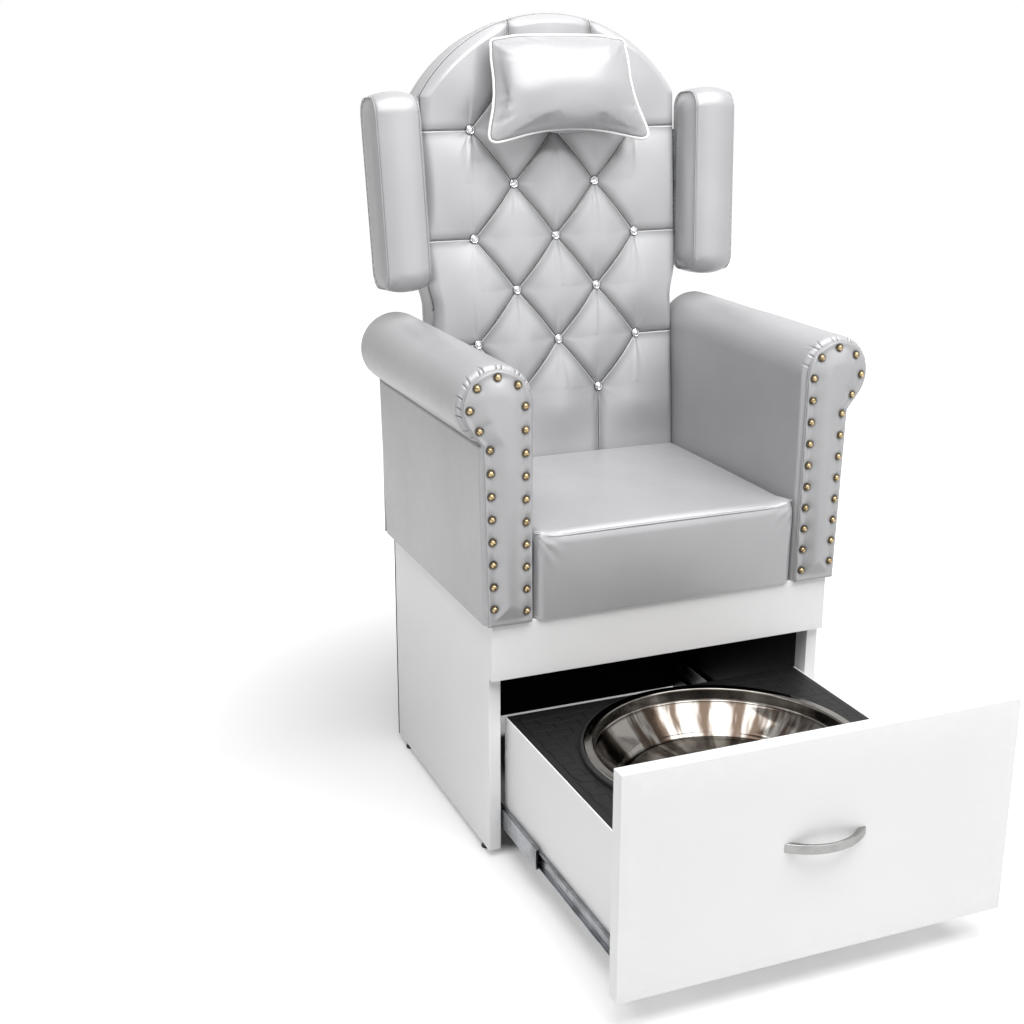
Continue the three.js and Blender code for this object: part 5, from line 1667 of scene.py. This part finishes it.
@dataclass
class Backrest:
    """The tufted back with its arched top, crystal buttons, welt and outside cover."""

    palette: Palette
    lattice: TuftLattice = LATTICE
    half_low: float = 249.3
    half_wide: float = 259.0
    widen_from: float = 112.0
    widen_over: float = 60.0
    arch_radius: float = 304.0
    arch_v: float = 341.5
    edge: float = 12.0
    rear: float = -54.4
    crown: float = 18.0
    pleat: float = 8.0
    fullness: float = 0.5
    cells: int = 34
    welt_inset: float = 0.8
    welt_radius: float = 2.0
    button_radius: float = 8.0
    button_seat: float = 2.6
    button_top: float = 9.5
    facets: int = 10
    seed: int = 5

    @cached_property
    def bottom(self) -> float:
        """V of the cushion's lower edge."""
        return SLOPE.rise(node_box("backrest_cushion")[0][2])

    def half_at(self, v: Array) -> Array:
        """Half the width at a height: narrow between the arms, wider above them."""
        wider = smooth(self.widen_from, self.widen_from + self.widen_over, v)
        return self.half_low + (self.half_wide - self.half_low) * wider

    def arch_at(self, x: Array) -> Array:
        """V of the arch over a place across."""
        return self.arch_v + np.sqrt(self.arch_radius**2 - x**2)

    def gap(self, x: Array, v: Array) -> Array:
        """How far inside the back's outline a place is."""
        in_arch = np.where(v > self.arch_v, self.arch_radius - np.hypot(x, v - self.arch_v), 999.0)
        return np.clip(np.minimum(self.half_at(v) - np.abs(x), in_arch), 0, None)

    def outline(self, inset: float, spacing: float = 4.0) -> Array:
        """X and V round the back, from its lower right corner over the arch to its lower left."""
        foot = math.asin((float(self.arch_at(self.half_wide)) - self.arch_v) / self.arch_radius)
        arch = arc(0, self.arch_v, self.arch_radius - inset, foot, math.pi - foot, 160)
        v = np.linspace(self.bottom + inset, arch[0, 1], 240, endpoint=False)
        side = np.column_stack([self.half_at(v) - inset, v])
        return even_points(np.vstack([side, arch, (side * [-1, 1])[::-1]]), spacing)

    def ripples(self, x: Array, v: Array) -> Array:
        """Pulls in the cover: narrow rays from each button, strongest straight up and down.

        Each ray is a bell across its own line, rises out of the button and dies away along it.
        """
        chance = np.random.default_rng(self.seed)
        total = 0.55 * np.sin(x / 31 + v / 47) * np.cos(v / 29 - x / 53)
        rays = [(-90, 2.3, 60), (-82, -1.5, 42), (-101, 1.2, 40), (90, 1.4, 40), (98, -1.1, 32),
                (0, 0.5, 22), (180, 0.5, 22), *((a, 0.7, 24) for a in (-125, -60, 55, 125, -20, 200))]
        for bx, bv in self.lattice.buttons():
            far = np.hypot(x - bx, v - bv)
            near = far < 95
            turn, far = np.arctan2((v - bv)[near], (x - bx)[near]), far[near]
            ray = np.zeros(turn.shape)
            for angle, size, reach in rays:
                angle = math.radians(angle + chance.uniform(-7, 7))
                size *= chance.uniform(0.6, 1.2)
                off = np.abs(np.angle(np.exp(1j * (turn - angle)))) * far
                ray += size * bell(off, 1.4 + far * 0.045) * np.exp(-far / reach)
            total[near] += 1.5 * ray * smooth(5, 12, far)
        return total

    def relief(self, x: Array, v: Array) -> Array:
        """How far the face stands forward: a dome over each diamond on a ridge between two buttons."""
        across, down = self.lattice.distances(x, v)
        dome = (self.crown - self.pleat) * (across * down) ** self.fullness
        outer = smooth(self.lattice.reach * self.lattice.column, self.half_wide, np.abs(x))
        return (dome + self.pleat * np.maximum(across, down)) * (1 - 0.5 * outer)

    def face(self, x: Array, v: Array) -> Array:
        """N of the finished face, rounded off at its edges and plain behind the seat."""
        gap = self.gap(x, v)
        seat = SLOPE.rise(BODY_BOTTOM + 150.0)
        shown = smooth(seat, seat + self.lattice.row, v) * smooth(0, 1.5 * self.edge, gap)
        drop = self.edge * (1 - round_edge(gap, self.edge))
        return (self.relief(x, v) + self.ripples(x, v)) * shown - drop

    def cushion(self) -> Surface:
        """The tufted cushion: rows level up to the shoulders, then fanned to the arch."""
        pattern = self.lattice
        step_x, step_v = pattern.column / self.cells, pattern.row / self.cells
        shoulder = pattern.first + (pattern.rows - 2) * pattern.row
        close = np.linspace(QUARTER, 0, 8)
        lines = self.edge * (1 - np.sin(close[:-1]))
        reach = int((self.half_low - self.edge - 3) / step_x)
        middle = np.arange(-reach, reach + 1) * step_x

        def columns(half: Array) -> Array:
            """X of every column in rows of the given half widths."""
            right = middle[-1] + (half - self.edge - middle[-1]) * np.linspace(0, 1, 5)[1:]
            right = np.hstack([right, half - lines[::-1]])
            return np.hstack([-right[:, ::-1], np.tile(middle, (len(half), 1)), right])

        plain = pattern.first - pattern.row
        level = np.concatenate([
            np.linspace(self.bottom, plain, 10, endpoint=False), np.arange(plain, shoulder - 0.1, step_v),
        ])[:, None]
        xs, top_x = columns(self.half_at(level)), columns(np.array([[self.half_wide]]))[0]
        rise = self.arch_at(top_x) - shoulder
        rounding = self.edge / rise.max()
        fans = [np.linspace(0, 1 - rounding, 68), 1 - rounding * (1 - np.cos(close))[1:]]
        shares = np.concatenate(fans)[:, None]
        x = np.vstack([xs, np.tile(top_x, (len(shares), 1))])
        v = np.vstack([np.broadcast_to(level, xs.shape), shoulder + rise * shares])
        surface = slab(SLOPE.place(x, v, self.face(x, v)), SLOPE.place(x, v, self.rear), 6, plain=True)
        buttons = pattern.buttons()
        # Painted shade: a dark ring round each button and a dark line at the outer edge, in front of the
        # welt.
        far = np.hypot(x[..., None] - buttons[:, 0], v[..., None] - buttons[:, 1]).min(-1)
        seam = 0.9 * smooth(2.2, 0.6, self.gap(x, v)) * (v > self.widen_from)
        return surface.with_shade_and_patina(np.maximum(0.8 * smooth(12.0, 8.5, far), seam))

    def welt(self) -> tuple[Array, Array]:
        """The path of the welt, on the middle of the rounded edge, and its outward directions."""
        line = self.outline(self.welt_inset)
        line = line[line[:, 1] > self.widen_from]
        path = SLOPE.place(*line.T, 1.0 - self.edge)
        return path, unit(SLOPE.outward(outward(line, False)) + 0.4 * SLOPE.forward)

    def band(self) -> Surface:
        """The strip of vinyl round the edge of the back board, from the cushion to the cover."""
        line = self.outline(0.4, 6.0)
        loop = np.vstack([line, even_points(line[[-1, 0]], 12.0)[1:-1]])
        out, depths = outward(loop), np.linspace(-50.5, -74.0, 9)
        swell = np.sin(np.linspace(0, math.pi, 9)) * 0.8
        outer = [SLOPE.place(*(loop + out * s).T, n) for n, s in zip(depths, swell)]
        inner = [SLOPE.place(*(loop - out * 1.8).T, n) for n in depths[::-1]]
        return ring_skin(np.stack([*outer, *inner]))

    def outside_cover(self) -> Surface:
        """The padded cover behind the back: level rows with a rounded, drawn-in edge."""
        inset, plane, thick = 3.0, -75.0, 4.0
        foot, radius = self.bottom + inset, self.arch_radius - inset
        across, up = (np.sin(np.linspace(-QUARTER, QUARTER, count)) for count in (70, 120))
        v = foot + (self.arch_v + radius - foot) * (up + 1) / 2
        arch = np.sqrt(np.clip(radius**2 - (v - self.arch_v) ** 2, 9.0, None))
        half = self.half_at(v) - inset
        half = np.where(v > self.arch_v, np.minimum(half, arch), half)[:, None]
        x, v = half * across, np.broadcast_to(v[:, None], (120, 70))
        in_arch = np.where(v > self.arch_v, radius - np.hypot(x, v - self.arch_v), 99.0)
        gap = np.clip(np.minimum(np.minimum(half - np.abs(x), in_arch), v - foot), 0, None)
        soft = 2.4 * smooth(3, 60, gap) - 1.4 * bell(gap - 12, 2.2)
        back = SLOPE.place(x, v, plane + thick + 1.0 - thick * round_edge(gap, 4) - soft)
        # Painted shade: a dark line in the channel near the edge.
        return slab(back, SLOPE.place(x, v, plane + thick)).with_shade_and_patina(0.6 * bell(gap - 12, 1.8))

    def button(self, spot: Array) -> tuple[Surface, Surface]:
        """A button's silver setting and the faceted stone in it, at an X and V."""
        r, seat, steps = self.button_radius, self.button_seat, self.facets
        setting = revolved(np.array([
            [0, seat - 1.4], [r * 0.8, seat - 1.4], [r * 0.96, seat - 0.4], [r, seat + 1.0],
            [r * 0.97, seat + 2.6], [r * 0.86, seat + 3.4], [r * 0.74, seat + 3.0], [r * 0.7, seat + 2.0],
            [0, seat + 2.0],
        ]), np.zeros(3), 36)
        points = []
        for radius, height, shift in ((0.70, 2.1, 0.0), (0.69, 3.2, 0.5), (0.55, 4.9, 0.0), (0.34, 6.3, 0.5)):
            start = shift * TURN / steps
            ring = arc(0, 0, r * radius, start, start + TURN * (1 - 1 / steps), steps)
            points.append(np.insert(ring, 2, seat + height, axis=1))
        facets = [list(range(steps))[::-1]]
        for k in range(3):
            a, b = k * steps, (k + 1) * steps
            for i in range(steps):
                j = (i + 1) % steps
                if k % 2 == 0:
                    facets += [[a + i, a + j, b + i], [a + j, b + j, b + i]]
                else:
                    facets += [[a + i, b + j, b + i], [a + i, a + j, b + j]]
        facets += [[3 * steps + i, 3 * steps + (i + 1) % steps, 4 * steps] for i in range(steps)]
        peak = [[0, 0, self.button_top]]
        stone = Surface(np.vstack([*points, peak]), np.zeros((0, 4), int), facets).facing_out()
        frame = np.stack([[1.0, 0, 0], SLOPE.up, SLOPE.forward])
        place = SLOPE.place(*spot, 0.0)[None]
        return tuple(copies(part, place, frame).facing_out() for part in (setting, stone))

    def build(self) -> None:
        """Builds the cushion, welt, band, outside cover and buttons."""
        p = self.palette
        publish("tufted_back_cushion", self.cushion(), p.tufted, "backrest_cushion",
                sharp=math.radians(75))
        path, normals = self.welt()
        publish("back_welt", swept(path, normals, circle(self.welt_radius)), p.vinyl)
        behind = path + normals * 0.2 + SLOPE.forward * -4.6
        publish("back_stitching", stitches(behind, normals, 5.0), p.thread)
        publish("back_edge_band", self.band(), p.vinyl)
        publish("outside_back_cover", self.outside_cover(), p.vinyl, "backrest_cover")
        for number, spot in enumerate(self.lattice.buttons(), start=1):
            setting, stone = self.button(spot)
            publish(f"crystal_stone_{number:02d}", stone, p.crystal, f"tuft_button_{number:02d}", sharp=0.01)
            publish(f"crystal_setting_{number:02d}", setting, p.silver)
        dress(p.plywood, "backrest_board")
        dress(p.tape, "pillow_loop_patch", "pillow_hook_patch")


@dataclass
class Wing:
    """One wing beside the head: two side panels joined by a crowned band."""

    palette: Palette
    side: Side
    width: float = 90.0
    depth: float = 91.0
    length: float = 339.0
    middle: float = 331.0
    front: float = 52.5
    inner: float = 271.0
    splay: float = math.radians(1.6)
    corner: float = 31.0
    crown: float = 8.5
    panel_swell: float = 4.5
    inner_swell: float = 11.0
    seam_dip: float = 1.1

    @cached_property
    def profile(self) -> tuple[Array, Array]:
        """The side panel's outline, N and V from the wing's middle, and its outward directions."""
        a, b = self.depth / 2 - self.corner, self.length / 2 - self.corner
        corners = ((a, b), (-a, b), (-a, -b), (a, -b))
        arcs = [
            arc(n, v, self.corner, k * QUARTER, (k + 1) * QUARTER, 12) for k, (n, v) in enumerate(corners)
        ]
        line = even_points(np.vstack(arcs), 3.5, closed=True)
        return line, outward(line)

    def place(self, x: Array, n: Array, v: Array) -> Array:
        """Points from the wing's own X, N and V, splayed and set beside the back."""
        turned_x = self.inner + x * math.cos(self.splay) + v * math.sin(self.splay)
        turned_v = self.middle - x * math.sin(self.splay) + v * math.cos(self.splay)
        return SLOPE.place(turned_x, turned_v, n + self.front - self.depth / 2)

    def body(self) -> Surface:
        """The wing's skin: rings from the middle of one panel, over the band, to the other's middle."""
        line, out = self.profile
        count, dip = len(line), self.seam_dip
        ripple = np.sin(np.arange(count) * TURN / count * 61)
        size = np.array([self.depth, self.length]) / 2
        rings = []
        for share in (1.0, 0.93, 0.8, 0.62, 0.45, 0.32, 0.22, 0.14, 0.08, 0.04, 0.018):
            gap = share * size[0]
            ends = (size - gap) / size if share < 1.0 else np.array([0.02, (1 - size[0] / size[1]) * 0.98])
            lift = smooth(0, 26, gap)
            ruck = 0.28 * ripple * bell(gap - 4, 4) - dip
            inner = self.panel_swell - (self.inner_swell + dip) * lift - ruck
            outer = self.width - self.panel_swell + (self.panel_swell + dip) * lift + ruck
            # Painted shade: a dark line at each seam, on the side panel.
            rings.append([(x, line * ends, 0.55 * bell(gap, 1.6)) for x in (inner, outer)])
        order = [inner for inner, _ in rings]
        for u in np.linspace(0, 1, 30)[1:-1]:
            gap = min(u, 1 - u) * self.width
            lift = self.crown * (1 - abs(2 * u - 1) ** 2.4) - dip * math.exp(-gap / 1.6)
            ruck = 0.25 * ripple * bell(gap - 5, 5)
            x = self.panel_swell + u * (self.width - 2 * self.panel_swell)
            # Painted shade: a dark line at each seam, on the band.
            order.append((x, line + out * (lift + ruck)[:, None], 0.5 * bell(gap, 1.6)))
        order += [outer for _, outer in rings[::-1]]
        surface = tube(np.stack([self.place(x, *flat.T) for x, flat, _ in order]))
        return surface.with_shade_and_patina(np.repeat([fold for *_, fold in order], count)).mirrored(self.side)

    def edge(self, x: float, off: float) -> tuple[Array, Array]:
        """A line round the band at a place across it and that far off it, and the ways out of it."""
        line, out = self.profile
        path, tip = (self.place(x, *(line + out * far).T) * [self.side.value, 1, 1] for far in (off, off + 1))
        return path, tip - path

    def build(self) -> None:
        """Builds the wing, its welts and its stitching."""
        label, p = self.side.label, self.palette
        publish(f"wing_cover_{label}", self.body(), p.vinyl, f"wing_{label}",
                sharp=math.radians(60))
        ends = np.array([self.panel_swell, self.width - self.panel_swell])
        welts = joined(swept(*self.edge(x, 0.1), circle(1.1, 8), closed=True) for x in ends)
        publish(f"wing_welts_{label}", welts, p.vinyl)
        rows = joined(stitches(*self.edge(x, 0.35), 4.4, closed=True) for x in ends + [3.4, -3.4])
        publish(f"wing_stitching_{label}", rows, p.thread)
        dress(p.zinc, f"wing_bracket_{label}")


@dataclass
class HeadPillow:
    """The head pillow: two panels sewn round a piped edge and filled."""

    palette: Palette
    middle: float = 497.5
    height: float = 207.0
    top_width: float = 296.0
    bottom_width: float = 366.0
    pinch: float = 27.0
    arch: float = 42.0
    ear: float = 7.0
    rear: float = 22.4
    front: float = 116.0
    voxel: float = 4.0
    pressure: float = 4.0
    reach: float = 7.0
    seam_top: float = 36.0
    seam_foot: float = 90.0
    piping_radius: float = 2.5
    seed: int = 3

    def outline(self) -> Array:
        """X and V round the seam: a soft square with small ears, drawn-in sides and an arched foot."""
        a, b = rounded_square(np.linspace(0, TURN, 240, endpoint=False), 0.4)
        half = (self.bottom_width + (self.top_width - self.bottom_width) * (b + 1) / 2) / 2
        x = a * (half - self.pinch * (1 - b**2))
        v = b * self.height / 2 + self.arch * (1 - a**2) * (b < 0) * np.abs(b) ** 2
        grown = 1 + bell(np.abs(a) - 0.87, 0.09) * bell(b - 0.87, 0.09) * self.ear / 150
        return even_points(np.column_stack([x * grown, v * grown]), 3.0, closed=True)

    def seam_n(self, v: Array) -> Array:
        """N of the seam's plane, which tilts forward towards the foot, by V from the middle."""
        return self.seam_top + (self.seam_foot - self.seam_top) * (0.5 - v / self.height)

    def rucks(self, share: float, turn: Array) -> Array:
        """Rucks that run in from the seam and fade, by the share of the way out to it."""
        chance = np.random.default_rng(self.seed)
        total = np.zeros(turn.shape)
        for _ in range(46):
            at, wide = chance.uniform(0, TURN), chance.uniform(0.018, 0.05)
            long, size = chance.uniform(0.12, 0.45), chance.uniform(-2.6, 2.6)
            off = np.angle(np.exp(1j * (turn - at + 0.35 * (1 - share))))
            total += size * bell(off, wide) * smooth(1 - long, 0.95, share) * smooth(1.0, 0.93, share)
        return total

    def cover(self) -> Surface:
        """Both panels: rings from the middle of the front, over the seam, to the middle of the back."""
        seam = self.outline()
        turn = np.arctan2(seam[:, 1], seam[:, 0])
        turned = np.arctan2(seam[:, 1] / self.height, seam[:, 0] / self.bottom_width)
        oval = np.column_stack([np.cos(turned) * 150.0, np.sin(turned) * 92.0])
        share = np.sin(np.linspace(0.012, 1, 56) * QUARTER)
        rings, seam_shades = [], []
        for face, order, power in ((self.front, share, 0.66), (self.rear, share[-2::-1], 0.42)):
            for s in order:
                flat = (oval + (seam - oval) * s**3) * s + np.array([0.0, -4.0]) * (1 - s)
                base = self.seam_n(flat[:, 1])
                dome = (1 - s**2.1) ** power if s < 0.9999 else 0.0
                n = base + (face - base) * dome + self.rucks(s, turn) * np.sign(face - base)
                if face == self.rear:
                    flat[:, 1] -= 11.0 * bell(s - 0.86, 0.13) * bell(turn + QUARTER, 0.9)
                rings.append(SLOPE.place(flat[:, 0], self.middle + flat[:, 1], n))
                # Painted shade: a dark line along the seam.
                seam_shades.append(0.6 * smooth(0.975, 0.995, s))
        return tube(np.stack(rings)).with_shade_and_patina(np.repeat(seam_shades, len(seam)))

    def build(self) -> None:
        """Builds the pillow and its piping."""
        seam = self.outline()
        path = SLOPE.place(seam[:, 0], self.middle + seam[:, 1], self.seam_n(seam[:, 1]))
        cover = self.cover()
        cover = filled(cover, path, self.voxel, self.pressure, self.reach)
        # Painted shade: the filled cover darkens along the seam under the piping.
        cover = cover.with_shade_and_patina(0.6 * smooth(5.5, 3.0, nearest(cover.points, path)))
        publish("head_pillow_cover", cover, self.palette.pillow, "head_pillow", Body.PILLOW,
                math.radians(70))
        path += SLOPE.outward(outward(seam)) * 1.2
        piping = swept(path, SLOPE.forward, circle(self.piping_radius, 12), True)
        publish("pillow_piping", piping, self.palette.piping, body=Body.PILLOW)


# ---------------------------------------------------------------- the studio
@dataclass
class Studio:
    """A white floor that stays dark under the cabinet, soft lamps and the camera."""

    camera_place: Colour = (-1.1746, -2.2108, 1.3790)
    yaw: float = math.radians(22.11)
    pitch: float = math.radians(17.49)
    lens: float = 53.3
    sensor: float = 36.0
    ambient: float = 0.12
    top_watts: float = 153.0
    rear_watts: float = 3.0
    front_watts: float = 15.0
    left_watts: float = 2.5
    floor_reach: float = 14.0
    floor_colour: Colour = grey(0.80)
    floor_glow: tuple[float, float] = (0.30, 0.95)
    glow_reach: tuple[float, float] = (0.7, 1.9)

    def put(self, name: str, data: bpy.types.ID) -> bpy.types.Object:
        """Adds an object to the scene."""
        thing = bpy.data.objects.new(name, data)
        bpy.context.scene.collection.objects.link(thing)
        return thing

    def camera(self) -> None:
        """Sets the camera at the photograph's angle."""
        data = bpy.data.cameras.new("camera")
        data.lens, data.sensor_width = self.lens, self.sensor
        data.clip_start, data.clip_end = 0.05, 60.0
        camera = self.put("camera", data)
        camera.location = self.camera_place
        camera.rotation_euler = Euler((QUARTER - self.pitch, 0.0, -self.yaw))
        bpy.context.scene.camera = camera

    def floor(self) -> None:
        """A floor that shows white but keeps the chair's shadow."""
        graph = blank_material("studio floor")
        diffuse = graph.add("ShaderNodeBsdfDiffuse", {"Color": (*self.floor_colour, 1.0)})
        place = graph.add("ShaderNodeTexCoord").outputs["Object"]
        level = graph.grade(graph.vector("LENGTH", place), *self.glow_reach, *self.floor_glow)
        x, y, _ = graph.axes(place)
        under = graph.grade(graph.math("ABSOLUTE", x), 0.29, 0.32, 1.0, 0.0)
        under = graph.times(under, graph.grade(y, -0.02, 0.02, 0.0, 1.0))
        under = graph.times(under, graph.grade(y, 0.42, 0.45, 1.0, 0.0))
        level = graph.times(level, graph.math("SUBTRACT", 1.0, under))
        glow = graph.add("ShaderNodeEmission", {
            "Color": (1, 1, 1, 1), "Strength": graph.times(graph.unlit_rays(), level),
        })
        both = graph.add("ShaderNodeAddShader", {0: diffuse.outputs[0], 1: glow.outputs[0]})
        graph.add("ShaderNodeOutputMaterial", {"Surface": both.outputs[0]})
        mesh, reach = bpy.data.meshes.new("floor"), self.floor_reach
        corners = [(-reach, -reach, 0), (reach, -reach, 0), (reach, reach, 0), (-reach, reach, 0)]
        mesh.from_pydata(corners, [], [(0, 1, 2, 3)])
        mesh.materials.append(bpy.data.materials["studio floor"])
        self.put("floor", mesh)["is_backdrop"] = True

    def world(self) -> None:
        """White where it is seen, and a plain level of light elsewhere."""
        world = bpy.data.worlds.new("studio")
        world.use_nodes = True
        world.node_tree.nodes.clear()
        graph = Graph(world.node_tree)
        strength = graph.math("MULTIPLY_ADD", graph.unlit_rays(), 1.0 - self.ambient, self.ambient)
        background = graph.add("ShaderNodeBackground", {"Color": (1, 1, 1, 1), "Strength": strength})
        graph.add("ShaderNodeOutputWorld", {"Surface": background.outputs[0]})
        bpy.context.scene.world = world

    def lamp(self, name: str, place: Colour, aim: Colour, size: tuple[float, float], watts: float) -> None:
        """A soft box.

        Args:
            name: Its name.
            place: Where it hangs, in metres.
            aim: The point that it faces.
            size: Its width and height.
            watts: Its power.
        """
        data = bpy.data.lights.new(name, "AREA")
        data.shape, data.size, data.size_y, data.energy = "RECTANGLE", *size, watts
        lamp = self.put(name, data)
        lamp.location = place
        lamp.rotation_euler = (Vector(aim) - Vector(place)).to_track_quat("-Z", "Y").to_euler()

    def build(self) -> None:
        """Sets up the whole studio."""
        self.camera()
        self.floor()
        self.world()
        self.lamp("top softbox", (0.1, -0.9, 3.1), (0.0, 0.0, 0.6), (3.6, 2.8), self.top_watts)
        self.lamp("rear softbox", (0.2, 1.7, 3.0), (0.0, 0.0, 0.8), (2.4, 1.6), self.rear_watts)
        self.lamp("front softbox", (1.3, -3.0, 1.1), (0.0, 0.0, 0.7), (2.2, 1.8), self.front_watts)
        self.lamp("left softbox", (-1.6, -0.3, 0.5), (-0.34, 0.25, 0.3), (0.8, 0.6), self.left_watts)
        bpy.context.scene.view_settings.view_transform = "Standard"


def main() -> None:
    """Builds the studio and the chair, sub-assembly by sub-assembly."""
    logging.basicConfig(level=logging.INFO, format="%(message)s")
    packed_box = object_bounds()
    Studio().build()
    palette = Palette()
    assemblies = [
        Cabinet(palette), Drawer(palette), FootBowl(palette), DrawerSlides(palette),
        *(ScrollArm(palette, side) for side in Side), Seat(palette), Backrest(palette),
        *(Wing(palette, side) for side in Side), HeadPillow(palette),
    ]
    for assembly in assemblies:
        assembly.build()
    boxes = {"cad": packed_box, "visual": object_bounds()}
    {name: [list(low), list(high)] for name, (low, high) in boxes.items()}


if __name__ == "__main__":
    main()
